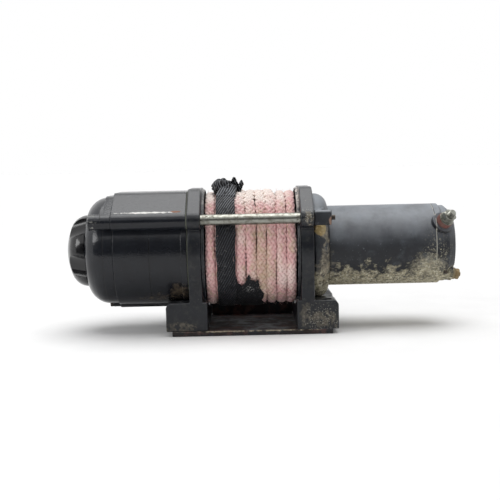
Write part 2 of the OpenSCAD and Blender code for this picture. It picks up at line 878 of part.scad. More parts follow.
module motor_flange() {
    bush_out = motor_shaft_r + motor_bush_wall;
    color("#45463f") difference() {
        union() {
            turned() flange_profile();
            for (side = [-1, 1])
                translate([support_out, side * rod_y - lug_w / 2, axis_h + rod_z - lug_h / 2])
                    cube([motor_flange_l, lug_w, lug_h]);
            for (side = [-1, 1])
                translate([support_out, side > 0 ? 0 : -rod_y, axis_h + rod_z - lug_h / 2])
                    cube([motor_flange_l - lug_inset, rod_y, lug_h]);
        }
        // Room for the coupler, the seat of the bush and the open middle of the spigot
        bar(support_out - cut, coupler_x + coupler_l - support_out + 2 * cut, coupler_r + coupler_room);
        bar(flange_x - motor_bush_l - seat_gap, motor_bush_l + seat_gap + cut, bush_out + seat_gap / 2);
        bar(flange_x, spigot_l + cut, can_in_r - spigot_wall);
        boss_holes(support_out - cut, motor_flange_l + 2 * cut, long_bolt_r + bolt_clear);
        boss_holes(flange_x - flange_head_l, flange_head_l + cut, flange_head_r + bolt_clear);
        for (angle = through_bolt_angles)
            through_bolt_place(angle)
                bar(flange_x - through_thread_l, through_thread_l + spigot_l + cut, through_bolt_r + seat_gap);
        lower_motor_bolts(seat_gap);
    }
}

// Lower bolts of the motor flange, into the support, grown by the gap given
module lower_motor_bolts(gap) {
    place_r = (motor_flange_r + can_r) / 2;
    start = support_out - flange_screw_l - gap;
    head_l = gap > 0 ? motor_flange_l : lower_screw_head_l;
    for (angle = lower_screw_angles) about_axis(angle) translate([0, place_r, 0]) {
        bar(start, flange_head_x - start, lower_screw_r + gap);
        bar(flange_head_x, head_l, lower_screw_head_r + gap);
    }
}

module motor_flange_bolts() {
    length = rod_thread_l - rod_thread_gap + support_t + motor_flange_l;
    color("#1f2022") {
        for (side = [-1, 1]) translate([0, side * rod_y, rod_z]) {
            bar(flange_x - length, length, long_bolt_r);
            bar(flange_x - flange_head_l, flange_head_l, flange_head_r);
            bar(flange_x, flange_stub_l, flange_stub_r);
        }
        lower_motor_bolts(0);
    }
}

module motor_can() {
    color("#5c6167") tube(flange_x, can_l, can_r, can_in_r);
}

// A wedge from the axis, as wide as the angle given
module wedge(start, end, radius) {
    reach = radius / cos((end - start) / 4);
    middle = (start + end) / 2;
    polygon([
        [0, 0], reach * [cos(start), sin(start)], reach * [cos(middle), sin(middle)],
        reach * [cos(end), sin(end)]
    ]);
}

module motor_magnets() {
    color("#55504c") for (magnet = [0:magnets_n - 1]) axial(magnet_x) linear_extrude(magnet_l)
        intersection() {
            difference() {
                circle(can_in_r - seat_gap);
                circle(armature_r + magnet_gap);
            }
            rotate(360 * magnet / magnets_n) wedge(-magnet_angle / 2, magnet_angle / 2, can_r);
        }
}

// Profile of the end cap: rim, step, band and a slanted end
module cap_profile(wall) {
    step_x = can_x + cap_rim_l;
    band_x = step_x + cap_step_l + cap_band_l;
    band_r = can_r - cap_step;
    polygon([
        [can_x, 0], [can_x, can_r - wall], [step_x - (wall > 0 ? wall / 2 : 0), can_r - wall],
        [step_x + cap_step_l, band_r - wall], [band_x - wall / 3, band_r - wall],
        [cap_x - wall, cap_end_r - wall / 2], [cap_x - wall, 0]
    ]);
}

// Places its children on the stud axis of the upper terminal, with +Z along the stud
module upper_terminal() {
    translate([terminal_x, 0, axis_h]) rotate([90 - terminal_angle, 0, 0]) rotate([0, terminal_lean, 0])
        children();
}

// Places its children on the stud axis of the lower terminal, with +Z along the stud
module lower_terminal() {
    translate([side_terminal_x, side_terminal_y, axis_h + side_terminal_z])
        rotate([0, 90 + side_terminal_droop, 0]) children();
}

// Places its children on a through bolt's line, beside the armature
module through_bolt_place(angle) {
    about_axis(angle) translate([0, through_bolt_place_r, 0]) children();
}

module motor_end_cap() {
    bush_out = motor_shaft_r + motor_bush_wall;
    color("#3f4244") difference() {
        union() {
            turned() cap_profile(0);
            upper_terminal() translate([0, 0, stud_inner_end])
                cylinder(h = terminal_boss_end - stud_inner_end, r = terminal_boss_r);
            lower_terminal() cylinder(h = side_boss_end, r = side_boss_r);
        }
        difference() {
            union() {
                turned() cap_profile(cap_wall);
                bar(can_x - cut, 2 * cut, can_r - cap_wall);
                upper_terminal() cylinder(h = terminal_boss_end - cap_wall, r = terminal_boss_r - cap_wall);
            }
            bar(can_x + cap_rim_l, cap_l, cap_boss_r);
            lower_terminal() translate([0, 0, side_inner_end])
                cylinder(h = side_boss_end - side_inner_end, r = side_boss_r);
        }
        bar(can_x, cap_l - cap_wall, bush_out + seat_gap / 2);
        bar(can_x - can_l, can_l, can_r + seat_gap);
        upper_terminal() cylinder(h = terminal_reach, r = stud_r + seat_gap);
        lower_terminal() {
            translate([0, 0, side_inner_end - cut]) cylinder(h = side_tip, r = side_stud_r + seat_gap);
            translate([0, 0, side_boss_end]) cylinder(h = side_tip, r = side_boss_r);
        }
        for (angle = through_bolt_angles) through_bolt_place(angle) {
            bar(can_x - cut, cap_l + 2 * cut, through_bolt_r + seat_gap);
            bar(through_head_x, cap_l, through_head_r + seat_gap);
        }
    }
}

module motor_through_bolts() {
    start = flange_x - through_thread_l + cut;
    color("#8b8c8a") for (angle = through_bolt_angles) through_bolt_place(angle) {
        bar(start, through_head_x - start, through_bolt_r);
        bar(through_head_x, through_head_l, through_head_r);
    }
}

module motor_bushes() {
    bush_out = motor_shaft_r + motor_bush_wall;
    color("#b08d57") {
        tube(flange_x - motor_bush_l, motor_bush_l, bush_out, motor_shaft_r + running_gap);
        tube(cap_x - cap_wall - motor_bush_l - seat_gap, motor_bush_l, bush_out,
             motor_shaft_r + running_gap);
    }
}

// A box across the axis at a brush: from one radius to another, centred on its radius
module brush_block(x, length, width, low, high) {
    for (brush = [0:brushes_n - 1]) about_axis(360 * brush / brushes_n)
        translate([x, low, axis_h - width / 2]) cube([length, high - low, width]);
}

module brush_holder() {
    box_x = commutator_x + (commutator_l - brush_l) / 2 - box_wall;
    color("#6b4a2f") difference() {
        union() {
            tube(holder_x, holder_t, holder_r, holder_in_r);
            brush_block(box_x, holder_x - box_x, brush_w + 2 * box_wall, holder_in_r, brush_box_r);
        }
        brush_block(box_x + box_wall - brush_gap, brush_l + 2 * brush_gap, brush_w + 2 * brush_gap,
                    holder_in_r - cut, brush_box_r - box_wall);
        for (angle = through_bolt_angles) through_bolt_place(angle)
            bar(holder_x - cut, holder_t + 2 * cut, through_bolt_r + 2 * bolt_clear);
    }
}

module brushes() {
    low = commutator_r + seat_gap;
    x = commutator_x + (commutator_l - brush_l) / 2;
    color("#2b2a2a") brush_block(x, brush_l, brush_w, low, low + brush_h);
}

module brush_springs() {
    low = commutator_r + seat_gap + brush_h;
    x = commutator_x + (commutator_l - brush_l) / 2;
    color("#c9c4b4") for (brush = [0:brushes_n - 1]) about_axis(360 * brush / brushes_n)
        translate([x, low + seat_gap + spring_roll_r, 0])
            tube(brush_gap, brush_l - 2 * brush_gap, spring_roll_r, spring_roll_r - spring_strip);
}

// A stud, drawn at its thread's pitch radius up to its nut's top and full size beyond it
module stud(start, nut_top, tip, radius) {
    union() {
        translate([0, 0, start]) cylinder(h = nut_top - start, r = radius * pitch_share);
        translate([0, 0, nut_top]) cylinder(h = tip - nut_top, r = radius);
    }
}

module terminal_studs() {
    color("#c4c5c0") {
        upper_terminal() stud(stud_inner_end, stud_nut_x + stud_nut_t, terminal_reach, stud_r);
        lower_terminal() stud(side_inner_end, side_nut_x + side_nut_t, side_tip, side_stud_r);
    }
}

// A flat ring on a stud, from one height to another
module stud_ring(start, thickness, outer, inner) {
    translate([0, 0, start]) linear_extrude(thickness) difference() {
        circle(outer);
        circle(inner);
    }
}

module terminal_insulators() {
    color("#8e3a30") {
        upper_terminal() stud_ring(terminal_boss_end, insulator_t, insulator_r, stud_r + seat_gap);
        lower_terminal() stud_ring(side_boss_end, side_insulator_t, side_insulator_r,
                                   side_stud_r + seat_gap);
    }
}

module terminal_washers() {
    color("#b5b6b0") {
        upper_terminal() stud_ring(terminal_boss_end + insulator_t, washer_t, washer_r,
                                   stud_r + seat_gap);
        lower_terminal() stud_ring(side_boss_end + side_insulator_t, side_washer_t,
                                   side_insulator_r * 0.95, side_stud_r + seat_gap);
    }
}

module terminal_nuts() {
    color("#c9cac4") {
        upper_terminal() translate([0, 0, stud_nut_x]) linear_extrude(stud_nut_t) difference() {
            circle(hex_r(stud_nut_flats), $fn = 6);
            circle(stud_r * pitch_share + seat_gap);
        }
        lower_terminal() translate([0, 0, side_nut_x]) linear_extrude(side_nut_t) difference() {
            circle(hex_r(side_nut_flats), $fn = 6);
            circle(side_stud_r * pitch_share + seat_gap);
        }
    }
}

module drum() {
    socket_l = journal_l + socket_wall;
    color("#6d6a63") difference() {
        union() {
            bar(-drum_half - journal_l, 2 * (drum_half + journal_l), journal_r);
            bar(-drum_half, 2 * drum_half, barrel_r);
            for (x = [-drum_half, drum_inner_half]) bar(x, drum_flange_t, drum_flange_r);
        }
        bar(-drum_half + socket_wall, 2 * drum_half + journal_l, drum_bore_r);
        axial(-drum_half - journal_l - cut)
            cylinder(h = socket_l + 2 * cut, r = hex_r(socket_flats + 2 * seat_gap), $fn = 6);
        anchor_place() cylinder(h = barrel_r, r = anchor_r + seat_gap);
    }
}

// Place of the screw that clamps the rope's inner end, with +Z away from the axis
module anchor_place() {
    x = drum_inner_half - 2 * anchor_r;
    translate([x, 0, axis_h]) rotate([180, 0, 0]) children();
}

module rope_anchor_screw() {
    color("#3d3d3d") anchor_place() difference() {
        translate([0, 0, drum_bore_r + seat_gap]) cylinder(h = anchor_t, r = anchor_r);
        translate([0, 0, drum_bore_r + anchor_socket]) cylinder(h = anchor_t, r = anchor_r / 2, $fn = 6);
    }
}

module output_carrier() {
    pin_l = output_gear_w + carrier_gap + pin_stand;
    color("#7c7b77") difference() {
        union() {
            bar(output_plate_x, output_carrier_t, ring_pitch_r);
            axial(output_carrier_x - cut) cylinder(
                h = -drum_half + socket_wall - cut - output_carrier_x, r = hex_r(socket_flats), $fn = 6);
            planet_places() bar(output_plate_x - pin_l, pin_l + cut, planet_pin_r);
        }
        bar(output_plate_x - cut, support_out, output_bore_r);
    }
}

// Places of the planets of one stage
module planet_places() {
    for (place = [0:planets_n - 1]) about_axis(360 * place / planets_n)
        translate([0, orbit_r, 0]) children();
}

module rope_core() {
    color("#c9949a") tube(-drum_inner_half + seat_gap, 2 * (drum_inner_half - seat_gap),
                          rope_core_r, barrel_r + seat_gap);
}

// Centre line of the outer layer: a helix from flange to flange with a straight run at each end
rope_pitch = -2 * rope_first_x / rope_turns_n;
rope_steps = rope_turns_n * rope_rings;
function rope_point(step) =
    let (angle = rope_start_angle + 360 * step / rope_rings)
    [rope_first_x + rope_pitch * step / rope_rings, rope_lay_r * cos(angle), rope_lay_r * sin(angle)];
function rope_heading(step) =
    let (angle = rope_start_angle + 360 * step / rope_rings, rise = rope_pitch / (2 * PI * rope_lay_r))
    [rise, -sin(angle), cos(angle)] / sqrt(1 + rise * rise);
rope_line = concat(
    [rope_point(0) - rope_w * rope_heading(0)],
    [for (step = [0:rope_steps]) rope_point(step)],
    [rope_point(rope_steps) + rope_w * rope_heading(rope_steps)]
);
function rope_step(index) = min(max(index - 1, 0), rope_steps);
function rope_out(index) =
    let (angle = rope_start_angle + 360 * rope_step(index) / rope_rings)
    [0, cos(angle), sin(angle)];
rope_skin = [
    for (index = [0:len(rope_line) - 1]) for (corner = [0:rope_sides - 1])
        let (turn = 360 * corner / rope_sides, across = cross(rope_heading(rope_step(index)), rope_out(index)))
        rope_line[index] + rope_r * (cos(turn) * across + sin(turn) * rope_out(index))
];
rope_faces = concat(
    [for (ring = [0:len(rope_line) - 2]) for (corner = [0:rope_sides - 1]) for (half = [0, 1])
        let (a = ring * rope_sides + corner, b = ring * rope_sides + (corner + 1) % rope_sides)
        half == 0 ? [a, b, b + rope_sides] : [a, b + rope_sides, a + rope_sides]],
    [for (corner = [1:rope_sides - 2]) [0, corner + 1, corner]],
    [for (corner = [1:rope_sides - 2])
        let (first = (len(rope_line) - 1) * rope_sides)
        [first, first + corner, first + corner + 1]]
);

// Least gap between two stretches of the rope that are half a turn or more apart
rope_gap = min([
    for (a = [0:len(rope_line) - 1 - rope_rings / 2]) for (b = [a + rope_rings / 2:len(rope_line) - 1])
        norm(rope_line[a] - rope_line[b])
]) - rope_w;
echo(least_gap_between_rope_turns = rope_gap);

module rope_turns() {
    color("#e3b6ba") translate([0, 0, axis_h]) polyhedron(rope_skin, rope_faces);
}

// A curved patch round the rope, between two angles measured from the back over the top
module patch(x, length, low, high, start, end) {
    axial(x) linear_extrude(length) intersection() {
        difference() {
            circle(high);
            circle(low);
        }
        wedge(start, end, high * 2);
    }
}

module rope_sleeve() {
    color("#1d1e20") tube(sleeve_x, sleeve_w, sleeve_out_r, sleeve_in_r);
}

module sleeve_fold() {
    low = sleeve_out_r + soft_gap / 3;
    color("#202124") patch(sleeve_x - fold_over, sleeve_w + fold_over + fold_under, low, low + fold_t,
                           fold_angles[0], fold_angles[1]);
}

module sleeve_torn_end() {
    start_x = sleeve_x + sleeve_w + seat_gap;
    color("#1b1c1e") difference() {
        patch(start_x, torn_l, sleeve_in_r, sleeve_out_r, torn_start_angle, torn_end_angle);
        for (bite = [0:len(torn_bite_rs) - 1]) about_axis(torn_start_angle)
            translate([start_x + torn_l * torn_bite_shares[bite], 0, axis_h]) rotate([-90, 0, 0])
                cylinder(h = sleeve_out_r + cut, r = torn_bite_rs[bite]);
    }
}

module drive_shaft() {
    start = first_planet_x - carrier_gap;
    color("#a9aaa8") axial(start)
        cylinder(h = shaft_split_x - drive_shaft_end_gap - start, r = hex_r(shaft_flats), $fn = 6);
}

module input_sun_gear() {
    color("#9b9a95") axial(first_planet_x) linear_extrude(first_gear_w) difference() {
        gear_outline(sun_teeth);
        circle(hex_r(shaft_flats + 2 * seat_gap), $fn = 6);
    }
}

module motor_coupler() {
    color("#6e6f70") difference() {
        bar(coupler_x, coupler_l, coupler_r);
        axial(coupler_x - cut) cylinder(h = shaft_split_x - coupler_x - drive_shaft_end_gap / 2 + cut,
                                        r = hex_r(shaft_flats + 2 * seat_gap), $fn = 6);
        bar(shaft_split_x + drive_shaft_end_gap / 2, coupler_l, motor_shaft_r + seat_gap / 2);
    }
}

module motor_shaft() {
    start = shaft_split_x + drive_shaft_end_gap;
    color("#a9aaa8") bar(start, cap_x - cap_wall - seat_gap - start, motor_shaft_r);
}

module armature_core() {
    color("#7a7a78") axial(core_x) linear_extrude(core_l) difference() {
        circle(armature_r);
        circle(motor_shaft_r + seat_gap / 2);
        for (slot = [0:armature_slots - 1]) rotate(360 * slot / armature_slots)
            translate([armature_r - slot_depth, -slot_w / 2]) square([slot_depth + cut, slot_w]);
    }
}

module armature_windings() {
    outer = armature_r - bar_gap;
    slot_in = armature_r - slot_depth + bar_gap;
    total = core_l + 2 * (winding_l + seat_gap);
    color("#b4683a") union() {
        for (x = [core_x - winding_l - seat_gap, core_x + core_l + seat_gap])
            tube(x, winding_l, outer - ring_step, winding_in_r);
        for (slot = [0:armature_slots - 1]) axial(core_x - winding_l) rotate(360 * slot / armature_slots)
            translate([slot_in, -slot_w / 2 + bar_gap, 0])
                cube([outer - ring_step - slot_in, slot_w - 2 * bar_gap, total - 2 * seat_gap]);
    }
}

module commutator() {
    color("#b87333") tube(commutator_x, commutator_l, commutator_r, motor_shaft_r + seat_gap / 2);
}

module brake_hub() {
    color("#838482") axial(-brake_l / 2) linear_extrude(brake_l) difference() {
        circle(brake_hub_r);
        circle(hex_r(shaft_flats + 2 * seat_gap), $fn = 6);
    }
}

module brake_shoes() {
    split = 2;
    color("#5b5147") for (side = [-1, 1]) axial(-brake_l / 2) linear_extrude(brake_l) intersection() {
        difference() {
            circle(drum_bore_r - brake_shoe_gap);
            circle(brake_shoe_in_r);
        }
        translate([-drum_bore_r, side > 0 ? split / 2 : -drum_bore_r])
            square([2 * drum_bore_r, drum_bore_r - split / 2]);
    }
}

module brake_spring() {
    middle_r = (brake_hub_r + brake_shoe_in_r) / 2;
    wire_r = (brake_shoe_in_r - brake_hub_r) / 2 - seat_gap;
    color("#99968c") axial(-wire_r) translate([0, 0, wire_r])
        rotate_extrude(angle = brake_spring_angle) translate([middle_r, 0]) circle(wire_r);
}

// A carrier plate with its pins and the next stage's sun, from its plate's left face
module carrier(plate_x, gear_w, sun_l) {
    pin_l = gear_w + carrier_gap + pin_stand;
    difference() {
        union() {
            bar(plate_x, carrier_t, carrier_r);
            axial(plate_x) linear_extrude(carrier_t + sun_l) gear_outline(sun_teeth);
            planet_places() bar(plate_x - pin_l, pin_l + cut, planet_pin_r);
        }
        bar(plate_x - cut, carrier_t + sun_l + 2 * cut, carrier_bore_r);
    }
}

module first_carrier() {
    color("#868682") carrier(first_plate_x, first_gear_w, second_gear_w + stage_gap);
}

module second_carrier() {
    color("#868682") carrier(second_plate_x, second_gear_w, output_gear_w + stage_gap);
}

// One planet gear on its pin
module planet(x, width, place) {
    about_axis(360 * place / planets_n) axial(x) translate([orbit_r, 0, 0]) linear_extrude(width)
        difference() {
            gear_outline(planet_teeth);
            circle(planet_pin_r + running_gap);
        }
}

module first_planet(place) {
    color("#9e9d98") planet(first_planet_x, first_gear_w, place);
}

module second_planet(place) {
    color("#9e9d98") planet(second_planet_x, second_gear_w, place);
}

module output_planet(place) {
    color("#9e9d98") planet(output_planet_x, output_gear_w, place);
}

// Profile of the clutch knob: a flat face with a rounded shoulder
module knob_profile() {
    tip = cover_x - knob_gap - knob_h;
    lean = atan2(knob_shoulder_r, knob_crown_x - knob_shoulder_x);
    meet = [knob_crown_x - knob_crown_r * cos(lean), knob_crown_r * sin(lean)];
    intersection() {
        translate([tip, 0]) square([knob_h, knob_r]);
        union() {
            intersection() {
                translate([knob_crown_x, 0]) circle(knob_crown_r);
                translate([tip, 0]) square([knob_h, meet[1]]);
            }
            translate([knob_shoulder_x, knob_shoulder_r]) circle(knob_round);
        }
    }
}

module clutch_dial() {
    color("#0f1011") union() {
        difference() {
            turned() knob_profile();
            for (groove = [0:knob_grooves - 1])
                about_axis(knob_groove_start + 360 * groove / knob_grooves)
                    translate([cover_x, groove_place_r, axis_h]) rotate([0, 0, groove_lean])
                        rotate([0, 90, 0]) cylinder(h = 4 * knob_h, r = groove_r, center = true);
        }
        bar(cover_x - knob_gap - cut, spindle_l + cut, spindle_r);
        translate([cross_pin_x, 0, axis_h]) rotate([90, 0, 0])
            cylinder(h = 2 * (hub_r - cross_pin_inset), r = cross_pin_r, center = true);
    }
}

module clutch_plunger() {
    travel_r = cross_pin_r + cam_play;
    hub_x = plunger_x + plunger_t - plunger_l;
    color("#b7a27a") difference() {
        union() {
            bar(plunger_x, plunger_t, plunger_r);
            bar(hub_x, plunger_l, hub_r);
            lock_places() bar(plunger_x, plunger_t + lock_reach, lock_pin_r);
        }
        bar(hub_x - cut, plunger_l + 2 * cut, spindle_r + free_ring_gap);
        for (post = [0:guides_n - 1]) about_axis(360 * post / guides_n)
            translate([0, guide_place_r, 0]) bar(plunger_x - cut, plunger_t + 2 * cut, guide_r + running_gap);
        // The cam slots that the spindle's cross pin runs in
        for (side = [0, 180]) for (step = [0:cam_steps]) let (share = step / cam_steps)
            about_axis(side + cam_angle * share)
                translate([cross_pin_x + clutch_travel * share, spindle_r, axis_h])
                    rotate([-90, 0, 0]) cylinder(h = 2 * hub_wall, r = travel_r);
    }
}

base_plate();
base_plate_screws();
gear_side_support();
motor_side_support();
tie_rods();
foot_nuts();
gear_housing();
housing_gasket();
housing_screws();
main_ring_gear();
input_ring_gear();
end_cover();
gearbox_bolts();
cover_screw();
drum_bushes();
motor_flange();
motor_flange_bolts();
motor_can();
motor_magnets();
motor_end_cap();
motor_through_bolts();
motor_bushes();
brush_holder();
brushes();
brush_springs();
terminal_studs();
terminal_insulators();
terminal_washers();
terminal_nuts();
drum();
output_carrier();
rope_core();
rope_turns();
rope_sleeve();
sleeve_fold();
sleeve_torn_end();
rope_anchor_screw();
drive_shaft();
input_sun_gear();
motor_coupler();
motor_shaft();
armature_core();
armature_windings();
commutator();
brake_hub();
brake_shoes();
brake_spring();
first_carrier();
second_carrier();
first_planet(0);  // first_planet_a
first_planet(1);  // first_planet_b
first_planet(2);  // first_planet_c
second_planet(0);  // second_planet_a
second_planet(1);  // second_planet_b
second_planet(2);  // second_planet_c
output_planet(0);  // output_planet_a
output_planet(1);  // output_planet_b
output_planet(2);  // output_planet_c
clutch_dial();
clutch_plunger();
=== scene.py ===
"""Looks of a compact electric recovery winch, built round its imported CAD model."""

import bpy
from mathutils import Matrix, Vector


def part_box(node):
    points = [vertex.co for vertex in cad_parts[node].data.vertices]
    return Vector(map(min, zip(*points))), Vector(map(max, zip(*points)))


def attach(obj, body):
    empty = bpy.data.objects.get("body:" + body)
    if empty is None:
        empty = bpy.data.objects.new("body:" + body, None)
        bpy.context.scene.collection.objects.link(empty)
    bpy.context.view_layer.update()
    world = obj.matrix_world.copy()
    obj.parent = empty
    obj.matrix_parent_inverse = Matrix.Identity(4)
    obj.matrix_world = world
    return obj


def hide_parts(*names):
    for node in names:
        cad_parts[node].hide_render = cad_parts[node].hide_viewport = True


bl_info = {
    "name": "Electric Recovery Winch",
    "version": (1, 0, 0),
    "blender": (4, 5, 0),
    "location": "View3D > Sidebar > Winch",
    "description": "Builds the castings, motor, hardware, rope and webbing of a recovery winch",
    "category": "Object",
}

import math

import bmesh
import bpy
import numpy as np
from bpy.props import FloatProperty, FloatVectorProperty, IntProperty, PointerProperty
from mathutils import Matrix, Vector, noise

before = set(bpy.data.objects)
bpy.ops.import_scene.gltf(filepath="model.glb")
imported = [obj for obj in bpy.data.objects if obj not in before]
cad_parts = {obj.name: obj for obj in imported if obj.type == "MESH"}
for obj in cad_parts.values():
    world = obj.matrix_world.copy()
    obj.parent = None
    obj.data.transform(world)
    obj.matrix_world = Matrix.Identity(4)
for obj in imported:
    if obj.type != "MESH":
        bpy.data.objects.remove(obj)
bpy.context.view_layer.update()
MM = 0.001
CAN_LOW, CAN_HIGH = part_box("motor_can")
# Height of the axis that the motor and the drum share, in metres and in millimetres
AXIS_H = (CAN_LOW.z + CAN_HIGH.z) / 2
AXIS = AXIS_H / MM
# The tie rods begin 0.05145 from that axis, and the webbing and the rope stay inside them
WEB_REACH = 0.0509
ROPE_REACH = 0.0512
# Thickness of the webbing where it goes round the rope and where it stands free
BAND_THICKNESS = 0.0011
LOOSE_THICKNESS = 0.0009
# The outer layer of rope: its turns, the angle where it begins, and the share of a turn that steps over
TURNS = 9
START = -70.0
CROSSING = 0.3


def srgb(code):
    """A linear RGBA colour from an sRGB hex value."""
    parts = [int(code[i:i + 2], 16) / 255 for i in (1, 3, 5)]
    return (*(c / 12.92 if c <= 0.04045 else ((c + 0.055) / 1.055) ** 2.4 for c in parts), 1.0)


# Materials

def feed(tree, node, name, value):
    """Gives a node's input a value, or the socket that feeds it."""
    if isinstance(value, bpy.types.NodeSocket):
        tree.links.new(value, node.inputs[name])
    else:
        node.inputs[name].default_value = value


def add(tree, kind, inputs, output=0, **settings):
    """Adds a node with its inputs and settings, and gives one of its outputs."""
    made = tree.nodes.new("ShaderNode" + kind)
    for name, value in settings.items():
        setattr(made, name, value)
    for name, value in inputs.items():
        feed(tree, made, name, value)
    return made.outputs[output]


class Finish:
    """One material that is built up in layers over its base colour."""

    def __init__(self, name, colour, roughness, coords="Object", **sockets):
        self.material = bpy.data.materials.new(name)
        self.material.use_nodes = True
        self.tree = self.material.node_tree
        self.shader = self.tree.nodes["Principled BSDF"]
        for socket, value in sockets.items():
            feed(self.tree, self.shader, socket.replace("_", " "), value)
        self.colour, self.roughness, self.height = colour, roughness, 0.0
        self.measure_in(coords)

    def measure_in(self, coords):
        """Lays the next patterns out in Object or UV coordinates."""
        self.place = add(self.tree, "TexCoord", {}, coords)

    def spread(self, socket, low, high):
        """Goes smoothly from 0 at low to 1 at high."""
        return add(self.tree, "MapRange", {"Value": socket, "From Min": low, "From Max": high},
                   interpolation_type="SMOOTHSTEP")

    def times(self, *factors):
        """The product of sockets and numbers."""
        product = factors[0]
        for factor in factors[1:]:
            product = add(self.tree, "Math", {0: product, 1: factor}, operation="MULTIPLY")
        return product

    def either(self, a, b):
        """The stronger of two masks."""
        return add(self.tree, "Math", {0: a, 1: b}, operation="MAXIMUM")

    def grain(self, size, low=0.0, high=1.0, detail=3.0, stretch=(1, 1, 1), seed=0.0):
        """Noise with features of that size in metres, spread to 0 to 1 between low and high."""
        place = add(self.tree, "Mapping", {
            "Vector": self.place, "Scale": [1 / s for s in stretch], "Location": [seed] * 3})
        made = add(self.tree, "TexNoise", {
            "Vector": place, "Scale": 1 / size, "Detail": detail, "Roughness": 0.6}, "Fac")
        return self.spread(made, low, high)

    def rough(self, base, ragged, size, detail, seed):
        """Adds noise of that strength to a distance, so that its edge is broken."""
        return add(self.tree, "Math", {0: self.grain(size, detail=detail, seed=seed), 1: ragged, 2: base},
                   operation="MULTIPLY_ADD")

    def patch(self, centre, half, edge=0.5, ragged=0.7, size=0.006, seed=0.0):
        """1 inside an ellipsoid, 0 outside, with an edge broken by noise.
        Its centre and half sizes are in millimetres of the object's own space."""
        centre, half = [c * MM for c in centre], [h * MM for h in half]
        away = add(self.tree, "VectorMath", {0: self.place, 1: centre}, operation="SUBTRACT")
        share = add(self.tree, "VectorMath", {0: away, 1: half}, operation="DIVIDE")
        reach = add(self.tree, "VectorMath", {0: share}, "Value", operation="LENGTH")
        limit = 1.0 + ragged / 2
        return self.spread(self.rough(reach, ragged, size, 3.0, seed), limit, limit - edge)

    def below(self, level, edge, ragged, size=0.008):
        """1 well below a height in millimetres, 0 above it, with a splashed edge.
        A negative edge turns it round: 0 below and 1 above."""
        height = add(self.tree, "SeparateXYZ", {0: self.place}, "Z")
        level += ragged / 2
        return self.spread(self.rough(height, ragged * MM, size, 5.0, 0.0),
                           (level + edge) * MM, (level - edge) * MM)

    def stripe(self, at, half):
        """1 within half of a plane across X, both in millimetres."""
        along = add(self.tree, "SeparateXYZ", {0: self.place}, "X")
        away = add(self.tree, "Math", {0: along, 1: at * MM}, operation="SUBTRACT")
        away = add(self.tree, "Math", {0: away}, operation="ABSOLUTE")
        return self.spread(away, half * 1.3 * MM, half * 0.7 * MM)

    def turned(self, direction, low, high):
        """How nearly the surface faces a direction."""
        normal = add(self.tree, "NewGeometry", {}, "Normal")
        along = add(self.tree, "VectorMath", {0: normal, 1: direction}, "Value", operation="DOT_PRODUCT")
        return self.spread(along, low, high)

    def edges(self, radius):
        """1 where the surface turns sharply, as at worn edges and in corners."""
        round_normal = add(self.tree, "Bevel", {"Radius": radius}, samples=6)
        # From 10 to 31 degrees between the rounded surface and the real one
        slight, sharp = 0.985, 0.86
        return self.turned(round_normal, slight, sharp)

    def layer(self, mask, colour=None, roughness=None, rise=0.0):
        """Lays one colour, roughness and height in metres over what is there.
        The mask is a socket, or a tuple of sockets and numbers that are multiplied."""
        if isinstance(mask, tuple):
            mask = self.times(*mask)
        if colour is not None:
            self.colour = add(self.tree, "Mix", {0: mask, 6: self.colour, 7: colour}, 2, data_type="RGBA")
        if roughness is not None:
            self.roughness = add(self.tree, "Mix", {0: mask, 2: self.roughness, 3: roughness})
        if rise:
            self.height = add(self.tree, "Math", {0: mask, 1: rise, 2: self.height},
                              operation="MULTIPLY_ADD")

    def done(self):
        """Feeds the shader and gives the material."""
        feed(self.tree, self.shader, "Base Color", self.colour)
        feed(self.tree, self.shader, "Roughness", self.roughness)
        if self.height:
            bump = add(self.tree, "Bump", {"Height": self.height, "Distance": 1.0, "Strength": 1.0})
            feed(self.tree, self.shader, "Normal", bump)
        return self.material


def enamel(name, castings, dust, roughness, wear=0.35):
    """Sprayed black enamel on a casting: half-gloss, a little orange peel over sand-cast grain,
    a grey film where it faces up that is partly dust and partly painted light from above, and edges rubbed
    to the grey primer."""
    finish = Finish(name, castings.enamel, roughness, IOR=1.5, Specular_IOR_Level=0.4)
    finish.layer(finish.grain(0.014, 0.3, 0.8), srgb("#181b21"))
    finish.layer(finish.grain(0.0011, 0.3, 0.7, detail=2), rise=0.00002)
    finish.layer(finish.grain(0.006, 0.35, 0.75), rise=0.00004)
    # Where it faces up: a grey film, partly dust and partly painted light from above
    up = finish.turned((0, -0.25, 0.97), 0.05, 0.9)
    finish.layer((up, finish.grain(0.022, 0.0, 0.7, seed=3.1), dust), castings.dust, 0.55)
    finish.layer((finish.edges(0.0012), finish.grain(0.0028, 0.42, 0.6, seed=6.0), wear), castings.dust, 0.5)
    # Grit that sticks to the film, drawn coarser than real dust so that it shows
    finish.layer((finish.grain(0.0014, 0.66, 0.74, seed=7.7), dust), castings.dust, 0.8)
    return finish


def mud(finish, castings, *patches):
    """Dried mud: matt, tan to grey-green, lumpy at a few millimetres, thin at its edges."""
    for seed, (centre, half, strength) in enumerate(patches):
        broken = finish.times(finish.patch(centre, half, seed=seed * 5.3, ragged=1.1), strength,
                              finish.grain(0.0035, 0.38, 0.56, seed=seed + 0.7))
        finish.layer(broken, castings.mud, 0.92, 0.00035)
        finish.layer((broken, finish.grain(0.002, 0.45, 0.7, seed=9.0)), srgb("#c6bda8"), 0.95, 0.0002)


def metal(name, colour, second, roughness, grime=0.3, scale=0.004):
    """Bare or plated metal with faint mottling and a broken film of grime."""
    finish = Finish(name, colour, roughness, Metallic=1.0)
    finish.layer(finish.grain(scale, 0.35, 0.7), second, roughness + 0.12)
    finish.layer((finish.grain(0.0022, 0.55, 0.7, seed=4), grime), srgb("#4b443a"), 0.75, 0.00002)
    finish.layer(finish.grain(0.0006, 0.3, 0.7, detail=1), rise=0.000012)
    return finish


